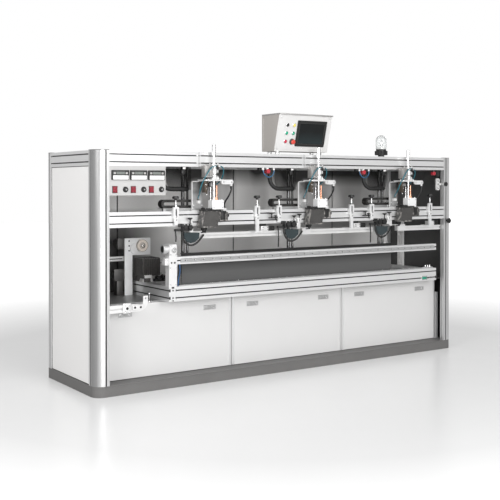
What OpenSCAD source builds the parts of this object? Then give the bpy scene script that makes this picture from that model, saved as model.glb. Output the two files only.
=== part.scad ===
// Three-colour mug screen printing machine: an aluminium profile frame on a plinth,
// with three printing stations hung on a middle beam over a pair of guide rails.
// X runs along the front to the right, Y to the back and Z up from the floor.

/* [Frame] */
// Width of the frame along X
machine_w = 3880; // [3840:10:4100]
// Depth of the frame along Y
machine_d = 940; // [920:10:1040]
// Height of the frame above the floor
machine_h = 1900; // [1880:10:2000]
// Height of the plinth
plinth_h = 85; // [60:5:110]
// Radius of the round front corner posts
post_r = 80; // [70:5:85]
// Width of the flat lip beside the round of a front post
post_lip = 40; // [36:2:50]
// Thickness of that lip
post_lip_t = 45; // [36:1:50]
// Wall of the hollow posts
post_wall = 6; // [4:1:8]
// Side of the square back posts
back_post = 60; // [50:2:70]
// Height of the top rails and of the middle beam
rail_h = 120; // [110:2:130]
// Depth of the top rails and of the lower rail
rail_d = 60; // [54:2:66]
// Depth of the middle beam's underside below the frame's top
beam_down = 600; // [580:5:620]
// Depth of the middle beam
beam_d = 80; // [76:2:90]

/* [Profile slots] */
// Mouth of a profile slot
slot_w = 10; // [8:1:12]
// Width of the slot behind its lips
slot_in = 22; // [18:1:24]
// Depth of a slot
slot_t = 13; // [11:1:15]
// Thickness of the slot's lips
slot_lip = 5; // [4:1:6]
// Bore along the core of a profile
core_d = 14; // [8:1:16]

/* [Panels and doors] */
// Sheet thickness of the side and back panels
sheet_t = 6; // [3:1:8]
// Step of a side panel behind the outer faces
panel_inset = 8; // [4:1:12]
// Thickness of the roof and of the table
deck_t = 8; // [5:1:10]
// Depth of the table below the frame's top
deck_down = 1207; // [1180:1:1240]
// Thickness of a door
door_t = 20; // [16:1:25]
// Front face of the doors, measured back from the frame's front
door_back = 140; // [130:2:160]
// Gap between two doors
door_gap = 6; // [3:1:10]
// Width of the bright strips along the doors' edges
trim_w = 16; // [10:1:24]
// Width of a door latch
latch_w = 120; // [100:2:130]
// Height of a door latch
latch_h = 40; // [30:1:50]
// Distance of a latch from the side of its door
latch_in = 155; // [140:5:200]
// Distance of a latch below the door's top
latch_down = 60; // [50:2:100]

/* [Rails] */
// Distance of the two guide rails from the frame's left end
rail_left = 713; // [700:1:720]
// Distance of the two guide rails from the frame's right end
rail_right = 228; // [210:1:250]
// Height of the upper rail's underside above the table
upper_up = 299; // [287:2:307]
// Side of the square upper rail
upper_h = 60; // [54:2:64]
// Spacing of the fixing holes in the guide strips
guide_pitch = 87; // [80:1:100]
// Width of a cross beam
cross_w = 73; // [60:1:76]
// Length of the cross beams behind the frame's front
cross_len = 627; // [600:1:640]
// Distance of the apron panel from the rails' left end
apron_left = 77; // [57:5:97]
// Distance of the apron panel from the rails' right end
apron_right = 547; // [512:5:562]
// Height of the apron panel
apron_h = 262; // [252:1:272]

/* [Printing stations] */
// Distance of the first head axis from the frame's left end
station_left = 1032; // [1025:1:1040]
// Distance of the last head axis from the frame's right end
station_right = 658; // [640:1:680]
// Distance of the head axes in front of the frame
head_out = 50; // [48:1:60]
// Diameter of an air cylinder
cylinder_d = 60; // [56:1:64]
// Bore of an air cylinder
bore_d = 44; // [40:1:46]
// Height of an air cylinder's underside above the middle beam
cylinder_up = 256; // [250:1:260]
// Height of an air cylinder
cylinder_h = 124; // [118:2:130]
// Diameter of the lower piston rod
rod_d = 16; // [14:1:20]
// Diameter of the stroke adjusting cap
cap_d = 31; // [26:1:36]
// Height of the stroke adjusting cap
cap_h = 95; // [80:5:100]
// Height of the crosshead block's underside above the middle beam
block_up = 12; // [10:1:18]
// Height of the crosshead block
block_h = 76; // [70:1:84]
// Height of the squeegee box
squeegee_h = 148; // [140:2:150]
// Lean of the squeegee box to the left over its height
squeegee_lean = 26; // [0:2:30]
// Upward and downward stroke that is kept free
stroke = 30; // [20:1:30]

/* [Screen carriers] */
// Space between a screen bar and the next one
screen_space = 275; // [265:5:315]
// Length of the screen bar at the right end
screen_last_l = 480; // [400:5:482]
// Height of a screen bar
screen_h = 45; // [40:1:48]
// Depth of the screen bars' underside below the middle beam
screen_down = 110; // [105:1:115]
// Width of a slotted clamp
clamp_w = 50; // [44:1:56]
// Diameter of a clamp's knob
knob_d = 46; // [36:1:50]

/* [Console] */
// Width of the control console
console_w = 594; // [560:2:640]
// Height of the control console
console_h = 330; // [300:5:360]
// Depth of the control console at its foot
console_d = 183; // [160:1:220]
// How far the console's face leans forward over its height
console_lean = 82; // [40:2:90]
// Centre of the console along X
console_x = 91; // [60:1:120]
// Height of the console's feet
foot_h = 28; // [20:1:40]
// Diameter of a push button
button_d = 30; // [24:1:34]

/* [Feed drive] */
// Diameter of the feed wheel
wheel_d = 105; // [95:1:110]
// Width of the geared motor
motor_w = 163; // [150:1:170]
// Height of the geared motor
motor_h = 150; // [140:1:160]
// Length of the geared motor from front to back
motor_l = 160; // [150:1:170]

/* [Hidden] */

eps = 0.5;
gap = 0.3;
run = 0.05;
hw = machine_w / 2;
hd = machine_d / 2;
post_w = post_r + post_lip;
inner_x = hw - post_w;
rail_z = machine_h - rail_h;
post_h = machine_h - plinth_h;
wall_x = hw - panel_inset - sheet_t;
rail_back = -hd + rail_d;
deck_z = machine_h - deck_down;
beam_z = machine_h - beam_down;
beam_top = beam_z + rail_h;
upper_z = deck_z + upper_up;
rail_x0 = -hw + rail_left;
rail_x1 = hw - rail_right;
module_n = 2;

// Doors
door_y = -hd + door_back;
door_x = inner_x + 15;
door_n = 3;
door_w = (2 * door_x - (door_n - 1) * door_gap) / door_n;
door_z0 = plinth_h + 5;
door_z1 = deck_z - deck_t - 4;
recess_t = 4;

// Stations
station_pitch = (machine_w - station_left - station_right) / 2;
stations = [for (i = [0:2]) -hw + station_left + i * station_pitch];
cylinder_z = beam_top + cylinder_up;
block_z = beam_top + block_up;
screen_z = beam_z - screen_down;
screen_l = station_pitch - screen_space;
head_y = -hd - head_out;
plate_t = 12;
plate_y = -hd + 34;
flange_t = 12;
flange_z = cylinder_z - flange_t;
squeegee_w = 150;
squeegee_d = 70;
squeegee_x = -38;

// Air tubes: routes from the head axis at the underside of the cylinder
tube_sides = 10;
tube_d = 10;
hose_d = 14;
supply_route = [
  [14, -40, 110], [-14, -40, 110], [-48, -50, 100], [-76, -54, 74], [-100, -54, 42], [-120, -48, 6],
  [-132, -34, -30], [-134, -14, -66], [-126, 12, -96], [-112, 44, -120], [-104, 72, -142], [-104, 72, -172]
];
return_route = [
  [38, -8, 108], [66, -8, 108], [90, 0, 88], [100, 12, 54], [98, 28, 18], [88, 48, -14], [70, 66, -36],
  [54, 72, -42], [30, 72, -42]
];
hose_route = [
  [156, -19, -54], [156, -19, -88], [150, 8, -136], [142, 46, -180], [140, 62, -212], [140, 62, -236]
];
clamp_left = [for (share = [0.3123, 0.3772, 0.4027]) -share * station_pitch];
clamp_right = [for (share = [0.4119, 0.3726, 0.2932]) share * station_pitch];
bar_x = [-45, -5, 60];
block_l = 100;

// Console
console_z = machine_h + foot_h;
console_y = -hd + console_lean;
face_angle = atan(console_lean / console_h);

// A slot with lips, cut inward along +Y from a face at y = 0
module slot_cut() {
  a = slot_w / 2;
  b = slot_in / 2;
  translate([-a, -eps]) square([slot_w, slot_lip + 2 * eps]);
  polygon([[-b, slot_lip], [b, slot_lip], [b, slot_lip + 2],
           [a + 1, slot_t], [-a - 1, slot_t], [-b, slot_lip + 2]]);
}

// Section of a profile: w across, h up, with nw and nh slots along each pair of faces
module profile_section(w, h, nw, nh) {
  core = min(core_d, min(w / nw, h / nh) - 2 * slot_t - 6);
  difference() {
    square([w, h]);
    for (i = [0:nw - 1]) {
      translate([w * (i + 0.5) / nw, 0]) slot_cut();
      translate([w * (i + 0.5) / nw, h]) rotate(180) slot_cut();
    }
    for (k = [0:nh - 1]) {
      translate([0, h * (k + 0.5) / nh]) rotate(-90) slot_cut();
      translate([w, h * (k + 0.5) / nh]) rotate(90) slot_cut();
    }
    for (i = [0:nw - 1], k = [0:nh - 1]) {
      translate([w * (i + 0.5) / nw, h * (k + 0.5) / nh]) circle(d = core, $fn = 32);
    }
  }
}

// Profile bars along the three axes, from their lowest corner
module bar_x_dir(len, d, h, nd, nh) {
  rotate([90, 0, 90]) linear_extrude(len) profile_section(d, h, nd, nh);
}

module bar_y_dir(len, w, h, nw, nh) {
  translate([0, len, 0]) rotate([90, 0, 0]) linear_extrude(len) profile_section(w, h, nw, nh);
}

module bar_z_dir(len, w, d, nw, nd) {
  linear_extrude(len) profile_section(w, d, nw, nd);
}

// A rectangle with round corners
module rounded(w, h, r) {
  translate([r, 0]) square([w - 2 * r, h]);
  translate([0, r]) square([w, h - 2 * r]);
  for (x = [r, w - r], y = [r, h - r]) {
    translate([x, y]) circle(r = r, $fn = 32);
  }
}

// A plate that stands in the XZ plane, with its front face at y = 0
module standing(t) {
  translate([0, t, 0]) rotate([90, 0, 0]) linear_extrude(t) children();
}

// Outline of the plinth, with round front corners
module plinth_outline() {
  translate([-hw, -hd + post_r]) square([machine_w, machine_d - post_r]);
  translate([-hw + post_r, -hd]) square([machine_w - 2 * post_r, post_r + eps]);
  for (s = [-1, 1]) {
    translate([s * (hw - post_r), -hd + post_r]) circle(r = post_r, $fn = 96);
  }
}

module base_plinth() {
  color("dimgray")
  difference() {
    linear_extrude(plinth_h) plinth_outline();
    translate([-hw - eps, -hd - eps, plinth_h - 12]) cube([machine_w + 2 * eps, 3 + eps, 4]);
  }
}

// Solid outline of a front post, with its outer corner at the origin
module post_outline() {
  intersection() {
    translate([-post_r, post_r]) circle(r = post_r, $fn = 96);
    translate([-post_r, 0]) square(post_r);
  }
  translate([-post_w, 0]) square([post_lip + eps, post_lip_t]);
  translate([-post_lip_t, post_r - eps]) square([post_lip_t, post_lip + eps]);
}

module post_section() {
  slot_x = post_r + slot_in / 2;
  difference() {
    post_outline();
    intersection() {
      translate([-post_r, post_r]) circle(r = post_r - post_wall, $fn = 96);
      translate([-post_r + post_wall, 0]) square([post_r, post_r - post_wall]);
    }
    translate([-slot_x, 0]) slot_cut();
    translate([0, slot_x]) rotate(90) slot_cut();
    translate([-post_w, post_lip_t - slot_in * 0.7]) rotate(-90) slot_cut();
  }
}

module at_front_posts() {
  for (s = [-1, 1]) {
    translate([s * hw, -hd, 0]) mirror([s < 0 ? 1 : 0, 0, 0]) children();
  }
}

module front_posts() {
  color("gainsboro")
  at_front_posts() translate([0, 0, plinth_h]) linear_extrude(post_h) post_section();
}

module back_posts() {
  color("gainsboro")
  for (x = [-hw, hw - back_post]) {
    translate([x, hd - back_post, plinth_h]) bar_z_dir(post_h, back_post, back_post, 1, 1);
  }
}

module post_caps() {
  color("dimgray") {
    at_front_posts() translate([0, 0, machine_h]) linear_extrude(4) post_outline();
    for (x = [-hw, hw - back_post]) {
      translate([x, hd - back_post, machine_h]) linear_extrude(4) rounded(back_post, back_post, 4);
    }
  }
}

module long_rails() {
  color("gainsboro") {
    translate([-inner_x, -hd, rail_z]) bar_x_dir(2 * inner_x, rail_d, rail_h, 1, module_n);
    translate([-hw + back_post, hd - rail_d, rail_z])
      bar_x_dir(machine_w - 2 * back_post, rail_d, rail_h, 1, module_n);
  }
}

module side_rails() {
  color("gainsboro")
  for (x = [-hw, hw - rail_d]) {
    translate([x, -hd + post_w, rail_z])
      bar_y_dir(machine_d - post_w - back_post, rail_d, rail_h, 1, module_n);
  }
}

module middle_beam() {
  color("gainsboro")
  translate([-inner_x, -hd, beam_z]) bar_x_dir(2 * inner_x, beam_d, rail_h, 1, module_n);
}

module side_panels() {
  color("whitesmoke")
  for (x = [-wall_x - sheet_t, wall_x]) {
    translate([x, -hd + post_w, plinth_h])
      cube([sheet_t, machine_d - post_w - back_post, rail_z - plinth_h]);
  }
}

// Back wall: panels between dark seams, backed by studs
seam_left = 625;
seam_right = 809;
seam_x = [-hw + seam_left, (seam_left - seam_right) / 2, hw - seam_right];
seam_w = 12;
stud_w = 60;
stud_t = 24;
stud_wall = 4;
back_in = 35;

module back_panels() {
  edges = concat([-hw + back_post - seam_w / 2], seam_x, [hw - back_post + seam_w / 2]);
  color("darkgray")
  for (i = [0:len(edges) - 2]) {
    translate([edges[i] + seam_w / 2, hd - back_in, plinth_h])
      cube([edges[i + 1] - edges[i] - seam_w, sheet_t, rail_z - plinth_h]);
  }
}

module back_studs() {
  color("dimgray")
  for (x = seam_x) {
    translate([x - stud_w / 2, hd - back_in + sheet_t, plinth_h]) linear_extrude(rail_z - plinth_h)
    difference() {
      square([stud_w, stud_t]);
      translate([stud_wall, -eps]) square([stud_w - 2 * stud_wall, stud_t - stud_wall + eps]);
    }
  }
}

module roof_panel() {
  color("whitesmoke")
  difference() {
    translate([-hw + rail_d, -hd + rail_d, machine_h - deck_t])
      cube([machine_w - 2 * rail_d, machine_d - 2 * rail_d, deck_t]);
    for (s = [-1, 1]) {
      translate([s * hw - post_r, -hd, machine_h - deck_t - eps])
        cube([2 * post_r, post_w, deck_t + 2 * eps]);
    }
  }
}

module cabinet_deck() {
  color("silver")
  translate([-wall_x, door_y, deck_z - deck_t])
    cube([2 * wall_x, hd - back_post - door_y, deck_t]);
}

upright_w = 40;
short_upright_h = 465;

// Uprights behind the door gaps, and a short one beside each outer door
module cabinet_uprights() {
  color("gainsboro") {
    for (i = [0:door_n]) {
      x = -door_x - door_gap / 2 + i * (door_w + door_gap);
      shift = i == 0 ? 0 : i == door_n ? -upright_w : -upright_w / 2;
      translate([x + shift, door_y + door_t, plinth_h])
        bar_z_dir(deck_z - deck_t - plinth_h, upright_w, upright_w, 1, 1);
    }
    for (x = [-door_x - door_gap - upright_w, door_x + door_gap]) {
      translate([x, door_y, plinth_h])
        bar_z_dir(min(short_upright_h, door_z1 - plinth_h), upright_w, upright_w, 1, 1);
    }
  }
}

function door_left_x(i) = -door_x + i * (door_w + door_gap);

// Centres of the two latches of a door, from its left edge
function latch_x() = [latch_in + latch_w / 2, door_w - latch_in - latch_w / 2];
latch_mid_z = door_z1 - latch_down - latch_h / 2;

// A folded sheet door with round vertical edges and a recess for each latch
module door(i) {
  color("whitesmoke")
  translate([door_left_x(i), door_y, door_z0])
  difference() {
    union() {
      translate([4, 0, 0]) cube([door_w - 8, door_t, door_z1 - door_z0]);
      translate([0, 4, 0]) cube([door_w, door_t - 4, door_z1 - door_z0]);
      for (x = [4, door_w - 4]) {
        translate([x, 4, 0]) cylinder(r = 4, h = door_z1 - door_z0, $fn = 32);
      }
    }
    for (x = latch_x()) {
      translate([x - latch_w / 2 - gap, -eps, latch_mid_z - door_z0 - latch_h / 2 - gap])
        cube([latch_w + 2 * gap, recess_t + eps, latch_h + 2 * gap]);
    }
  }
}

module door_trims() {
  color("silver")
  for (i = [0:door_n - 1], x = [4, door_w - trim_w - 4]) {
    translate([door_left_x(i) + x, door_y - 2, door_z0]) cube([trim_w, 2, door_z1 - door_z0]);
  }
}

// A flush latch: a frame round a sprung paddle, with a round lock
module door_latches() {
  rim = 5;
  color("silver")
  for (i = [0:door_n - 1], x = latch_x()) {
    translate([door_left_x(i) + x - latch_w / 2, door_y - 2, latch_mid_z - latch_h / 2])
    difference() {
      standing(recess_t + 2) rounded(latch_w, latch_h, 3);
      translate([rim, -eps, rim])
        standing(2 + eps) rounded(latch_w * 0.55, latch_h - 2 * rim, 2);
      translate([latch_w * 0.78, -eps, latch_h / 2]) rotate([-90, 0, 0])
        cylinder(d = latch_h * 0.4, h = 2.5, $fn = 32);
    }
  }
}

module lower_rail() {
  color("gainsboro")
  translate([rail_x0, -hd, deck_z]) bar_x_dir(rail_x1 - rail_x0, rail_d, rail_h, 1, module_n);
}

module upper_rail() {
  color("gainsboro")
  translate([rail_x0, -hd, upper_z]) bar_x_dir(rail_x1 - rail_x0, rail_d, upper_h, 1, 1);
}

// Ground guide strips: one on the face of the upper rail, one on top of the lower rail
strip_h = 30;
strip_t = 9;

module strip_section() {
  translate([0, 3]) square([strip_t, strip_h - 6]);
  polygon([[0, 0], [strip_t - 3, 0], [strip_t, 3],
           [strip_t, strip_h - 3], [strip_t - 3, strip_h], [0, strip_h]]);
}

module guide_strip(x0, x1) {
  n = floor((x1 - x0 - guide_pitch / 2) / guide_pitch);
  difference() {
    translate([x0, 0, 0]) rotate([90, 0, 90]) mirror([1, 0]) linear_extrude(x1 - x0) strip_section();
    for (i = [0:n]) {
      translate([x0 + guide_pitch / 2 + i * guide_pitch, -strip_t - eps, strip_h / 2])
        rotate([-90, 0, 0]) cylinder(d = 11, h = strip_t / 2 + eps, $fn = 24);
    }
  }
}

module guide_strips() {
  end = 30;
  color("silver") {
    translate([0, -hd, upper_z + upper_h / 2 - strip_h / 2])
      guide_strip(rail_x0 + end, rail_x1 - end);
    translate([0, -hd + rail_d / 2 - strip_h / 2, deck_z + rail_h]) rotate([-90, 0, 0])
      guide_strip(rail_x0 + end, rail_x1 - end);
  }
}

// Cross beams: the left one reaches the front, the others end behind the lower rail
rail_l = rail_x1 - rail_x0;
cross_x = [rail_x0 + rail_l / 4, rail_x0 + rail_l * 0.6, rail_x1 - 112];

module cross_beams() {
  color("gainsboro") {
    translate([rail_x0 - cross_w, -hd, deck_z]) bar_y_dir(cross_len, cross_w, rail_h, 1, module_n);
    for (x = cross_x) {
      translate([x - cross_w / 2, rail_back, deck_z])
        bar_y_dir(cross_len - rail_d, cross_w, rail_h, 1, module_n);
    }
  }
}

// A folded sheet behind the rails, with a flange at its foot and a return at its top
module apron_panel() {
  t = 5;
  foot = 50;
  h = apron_h;
  color("gray")
  translate([rail_x0 + apron_left, rail_back, deck_z + rail_h]) rotate([90, 0, 90])
    linear_extrude(rail_l - apron_left - apron_right)
    polygon([[0, 0], [foot, 0], [foot, t], [t, t], [t, h - t], [foot / 2, h - t], [foot / 2, h], [0, h]]);
}

module console_feet() {
  color("silver")
  for (x = [-1, 1], y = [0.18, 0.82]) {
    translate([console_x + x * (console_w / 2 - 60), console_y + console_d * y, machine_h])
      cylinder(d = 36, h = foot_h, $fn = 48);
  }
}

// Section of the console in the YZ plane, from its front foot
module console_section() {
  top = [[console_d, console_h - 12], [console_d, console_h], [-console_lean - 8, console_h]];
  lip = [[-console_lean - 8, console_h - 12], [-console_lean + 3, console_h - 12]];
  polygon(concat([[0, 0], [console_d, 0]], top, lip));
}

module console_housing() {
  color("whitesmoke")
  difference() {
    translate([console_x - console_w / 2, console_y, console_z]) rotate([90, 0, 90])
      linear_extrude(console_w) console_section();
    for (s = [-1, 1]) {
      translate([console_x + s * console_w / 2 - 1.5, console_y + 24, console_z + 24])
        cube([3, console_d - 48, console_h - 60]);
    }
  }
}

// Places children on the console's leaning face: x from its left edge, z up the slope
module on_console_face() {
  translate([console_x - console_w / 2, console_y, console_z]) rotate([face_angle, 0, 0]) children();
}

screen_x0 = 212;
screen_z0 = 50;
touch_w = 326;
touch_h = 233;

module touch_screen() {
  bezel = 26;
  color("black")
  on_console_face() translate([screen_x0, -10, screen_z0])
  difference() {
    standing(10 - gap) rounded(touch_w, touch_h, 8);
    translate([bezel, -eps, bezel]) cube([touch_w - 2 * bezel, 2.5 + eps, touch_h - 2 * bezel]);
  }
}

button_col = [103, 176];
button_row = [91, 166, 238];

// A push button: a collar and a domed cap
module push_button(d) {
  rotate([90, 0, 0]) {
    cylinder(d = d + 6, h = 4, $fn = 48);
    cylinder(d = d, h = 12, $fn = 48);
  }
}

module push_buttons() {
  color("goldenrod")
  on_console_face()
  for (c = [0, 1], r = [0:2]) {
    if (!(c == 1 && r == 0)) {
      translate([button_col[c], -gap, button_row[r]]) push_button(button_d);
    }
  }
}

module emergency_stop() {
  color("firebrick")
  on_console_face() translate([button_col[1], -gap, button_row[0]]) rotate([90, 0, 0]) {
    cylinder(d = button_d + 24, h = 3, $fn = 64);
    cylinder(d = button_d - 6, h = 20, $fn = 48);
    translate([0, 0, 20]) cylinder(d1 = button_d + 4, d2 = button_d + 12, h = 6, $fn = 64);
    translate([0, 0, 26]) cylinder(d = button_d + 12, h = 6, $fn = 64);
  }
}

// Heater panel in the top left corner of the front
heater_w = 492;
heater_h = 230;
heater_d = 80;
heater_step = 5;
unit_w = 145;
unit_h = 76;
unit_pitch = 158;
unit_x = 18;

module at_heater() {
  translate([-inner_x, -hd + heater_step, rail_z - heater_h]) children();
}

module heater_panel() {
  color("whitesmoke")
  at_heater() difference() {
    cube([heater_w, heater_d, heater_h]);
    translate([heater_w - 1.5, 20, 20]) cube([3, heater_d - 40, heater_h - 40]);
  }
}

module heater_controllers() {
  depth = 14;
  color("black")
  at_heater() for (i = [0:2]) {
    translate([unit_x + i * unit_pitch, -depth, heater_h - 34 - unit_h])
    difference() {
      standing(depth) rounded(unit_w, unit_h, 4);
      translate([8, -eps, unit_h * 0.5]) cube([unit_w - 16, 2 + eps, unit_h * 0.4]);
      translate([8, -eps, 6]) cube([unit_w - 16, 1 + eps, unit_h * 0.34]);
    }
  }
}

module heater_switches() {
  color("darkred")
  at_heater() for (i = [0:2]) {
    translate([47 + i * unit_pitch, 0, 46]) rotate([90, 0, -90]) translate([0, 0, -38])
      linear_extrude(38) polygon([[0, -24], [0, 24], [8, 24], [5, 0], [11, -24]]);
  }
}

module heater_knobs() {
  color("black")
  at_heater() for (i = [0:2]) {
    translate([138 + i * unit_pitch, 0, 46]) rotate([90, 0, 0]) {
      cylinder(d = 46, h = 3, $fn = 48);
      cylinder(d = 34, h = 18, $fn = 48);
      translate([-3, -17, 18]) cube([6, 34, 5]);
    }
  }
}

// Signal lamp on the front top rail
beacon_x = hw - 933;
beacon_d = 106;

module beacon_base() {
  color("black")
  translate([beacon_x, -hd + rail_d / 2, machine_h]) {
    cylinder(d = 60, h = 14, $fn = 64);
    translate([0, 0, 14]) cylinder(d = beacon_d + 6, h = 40, $fn = 64);
    translate([0, 0, 54]) cylinder(d = beacon_d - 10, h = 16, $fn = 64);
    for (a = [0:60:300]) {
      rotate(a) translate([beacon_d / 2, 0, 14]) cylinder(d = 18, h = 40, $fn = 32);
    }
  }
}

module beacon_dome() {
  wall = 3;
  z = 70;
  h = 134;
  color("lightgray", 0.5)
  translate([beacon_x, -hd + rail_d / 2, machine_h + z]) rotate_extrude($fn = 96)
  difference() {
    intersection() {
      union() {
        square([beacon_d / 2 - 2, h - beacon_d / 2]);
        translate([0, h - beacon_d / 2]) circle(r = beacon_d / 2 - 2, $fn = 96);
      }
      square([beacon_d, h]);
    }
    translate([-eps, -eps]) square([beacon_d / 2 - 2 - wall + eps, h - beacon_d / 2 + eps]);
    translate([0, h - beacon_d / 2]) circle(r = beacon_d / 2 - 2 - wall, $fn = 96);
  }
}

// A gooseneck plate on the middle beam, a flange under the cylinder and a link bar
module head_brackets() {
  foot_x = -160;
  foot_w = 101;
  arm = 46;
  arm_x = 30;
  top = flange_z;
  h = top - beam_top;
  link_l = 118;
  link_h = 38;
  color("gainsboro")
  for (x = stations) translate([x, 0, 0]) {
    translate([foot_x, plate_y, beam_top]) standing(plate_t)
    difference() {
      rounded_top(arm_x - foot_x, h, 18);
      difference() {
        translate([foot_w, -eps]) square([arm_x - foot_x, h - arm + eps]);
        translate([foot_w, h - arm - 16]) difference() {
          square([16, 16]);
          translate([16, 0]) circle(r = 16, $fn = 48);
        }
      }
    }
    difference() {
      translate([-100, head_y - 36, flange_z]) linear_extrude(flange_t)
        rounded(157, plate_y + plate_t - head_y + 36, 6);
      translate([0, head_y, flange_z - eps]) cylinder(d = rod_d + 2, h = flange_t + 2 * eps, $fn = 48);
    }
    translate([57, head_y - 26, flange_z - link_h / 2 - 8]) {
      difference() {
        standing(14) rounded(link_l, link_h, link_h / 2 - 0.5);
        for (u = [link_h / 2, link_l - link_h / 2]) {
          translate([u, -eps, link_h / 2]) rotate([-90, 0, 0]) cylinder(d = 13, h = 14 + 2 * eps, $fn = 32);
        }
      }
      translate([-14, 0, link_h / 2 + 8]) cube([34, 14, flange_t]);
    }
    translate([0, head_y, cylinder_z]) tube_seats();
  }
}

// Seats of the air tubes: two on the gooseneck plate, one under the link bar and a clip on the beam
module tube_seats() {
  seat = 24;
  plate_face = plate_y - head_y;
  supply_end = supply_route[len(supply_route) - 1];
  return_end = return_route[len(return_route) - 1];
  hose_end = hose_route[len(hose_route) - 1];
  translate([supply_end.x - seat / 2, plate_face - seat, supply_end.z - seat]) cube([seat, seat + eps, seat]);
  translate([return_end.x - seat, plate_face - seat, return_end.z - seat / 2]) cube([seat, seat + eps, seat]);
  translate([hose_route[0].x - 8, hose_route[0].y - 5, hose_route[0].z]) cube([16, 10, 20]);
  translate([hose_end.x - 16, -hd - head_y, beam_top - cylinder_z]) cube([32, 26, hose_end.z + cylinder_up]);
}

// A rectangle whose upper corners are round
module rounded_top(w, h, r) {
  square([w, h - r]);
  translate([r, 0]) square([w - 2 * r, h]);
  for (x = [r, w - r]) {
    translate([x, h - r]) circle(r = r, $fn = 48);
  }
}

cyl_wall_z = 14;
piston_h = 14;
top_rod_d = 12;

// Air cylinders with a true bore for the piston, and a valve block at the left of each
module air_cylinders() {
  chamber = cylinder_h - 2 * cyl_wall_z;
  color("silver")
  for (x = stations) translate([x, head_y, cylinder_z]) {
    difference() {
      union() {
        cylinder(d = cylinder_d, h = cylinder_h, $fn = 96);
        translate([-cylinder_d / 2, -cylinder_d / 2, 0]) linear_extrude(cyl_wall_z)
          rounded(cylinder_d, cylinder_d, 6);
        translate([-100, -28, 18]) cube([72, 56, cylinder_h - 30]);
        translate([supply_route[0].x, supply_route[0].y - 8, supply_route[0].z - 8]) cube([20, 32, 16]);
        translate([return_route[0].x - 18, return_route[0].y - 8, return_route[0].z - 8]) cube([18, 16, 16]);
      }
      translate([0, 0, cyl_wall_z]) cylinder(d = bore_d, h = chamber, $fn = 96);
      translate([0, 0, -eps]) cylinder(d = rod_d + 2 * run, h = cyl_wall_z + 2 * eps, $fn = 64);
      translate([0, 0, cylinder_h - cyl_wall_z - eps])
        cylinder(d = top_rod_d + 2 * run, h = cyl_wall_z + 2 * eps, $fn = 64);
    }
  }
}

// A tube: rings of points along its route, joined by triangles, with flat ends
function unit(v) = v / norm(v);

function heading(route, i) = unit(route[min(i + 1, len(route) - 1)] - route[max(i - 1, 0)]);

function ring(route, i, r) =
  let (t = heading(route, i), a = unit(cross(t, [0, 1, 0])), b = cross(t, a))
  [for (k = [0:tube_sides - 1])
    route[i] + r * (cos(360 * k / tube_sides) * a + sin(360 * k / tube_sides) * b)];

module swept_tube(route, d) {
  last = len(route) - 1;
  m = tube_sides;
  skin = [for (i = [0:last - 1], k = [0:m - 1])
    let (next = (k + 1) % m)
    each [[(i + 1) * m + k, (i + 1) * m + next, i * m + next], [(i + 1) * m + k, i * m + next, i * m + k]]];
  start = [for (k = [0:m - 1]) k];
  end = [for (k = [m - 1:-1:0]) last * m + k];
  polyhedron([for (i = [0:last]) each ring(route, i, d / 2)], concat(skin, [start], [end]));
}

module air_tubes() {
  color("teal")
  for (x = stations) translate([x, head_y, cylinder_z]) {
    swept_tube(supply_route, tube_d);
    swept_tube(return_route, tube_d);
    swept_tube(hose_route, hose_d);
  }
}

// Piston rod, piston, adjusting rod and cap in one turned piece, with a guide rod
module lift_rod(x) {
  rod_z = block_z + block_h;
  piston_z = cylinder_z + cylinder_h / 2 - piston_h / 2;
  cap_z = cylinder_z + cylinder_h + 71;
  color("silver")
  translate([x, head_y, 0]) {
    translate([0, 0, rod_z]) cylinder(d = rod_d, h = piston_z - rod_z + eps, $fn = 64);
    translate([0, 0, piston_z]) cylinder(d = bore_d - 2 * run, h = piston_h, $fn = 96);
    translate([0, 0, piston_z + piston_h - eps])
      cylinder(d = top_rod_d, h = cap_z - piston_z - piston_h + 2 * eps, $fn = 64);
    translate([0, 0, cap_z]) cylinder(d = cap_d, h = cap_h - 3, $fn = 64);
    translate([0, 0, cap_z + cap_h - 3]) cylinder(d1 = cap_d, d2 = cap_d - 6, h = 3, $fn = 64);
    translate([0, 0, rod_z]) cylinder(d = rod_d + 12, h = 24, $fn = 48);
    translate([-34, 0, rod_z]) cylinder(d = 12, h = flange_z - rod_z - stroke - 20, $fn = 48);
  }
}

// Crosshead block, squeegee box with its rim, blade and side clamp
module squeegee(x) {
  z0 = block_z - squeegee_h;
  rim = 14;
  half = squeegee_w / 2;
  color("darkslategray")
  translate([x, head_y, 0]) {
    translate([-35, -35, block_z]) linear_extrude(block_h - gap) rounded(111, 70, 4);
    translate([squeegee_x, -squeegee_d / 2, 0]) standing(squeegee_d)
      polygon([[-half, block_z - rim], [half, block_z - rim],
               [half - squeegee_lean, z0], [-half - squeegee_lean, z0]]);
    translate([squeegee_x - half - 6, -squeegee_d / 2 - 6, block_z - rim])
      cube([squeegee_w + 12, squeegee_d + 12, rim]);
    translate([21, -28, block_z - 96]) difference() {
      cube([98, 56, 74]);
      translate([34, -eps, 16]) cube([40, 56 + 2 * eps, 74]);
    }
    translate([84, 0, block_z - 52]) rotate([0, 90, 0]) cylinder(d = 22, h = 44, $fn = 32);
  }
}

rod_y = 190;
stand_d = [30, 20];
stand_x = [-156, -112];

// Upright rods behind each station, from the table to the roof
module stand_rods() {
  color("silver")
  for (x = stations, i = [0, 1]) {
    translate([x + stand_x[i], -hd + rod_y, deck_z])
      cylinder(d = stand_d[i], h = machine_h - deck_t - deck_z, $fn = 48);
  }
}

// Smoked sheets in front of the stand rods, each with one large round corner
module smoked_guards() {
  t = 5;
  w = 232;
  h = 190;
  r = 80;
  color("black", 0.6)
  for (x = stations) {
    translate([x - 320, -hd + rod_y - stand_d[0] / 2 - gap - t, rail_z - h]) standing(t)
    difference() {
      square([w, h]);
      difference() {
        square(r);
        translate([r, r]) circle(r = r, $fn = 96);
      }
    }
  }
}

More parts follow.
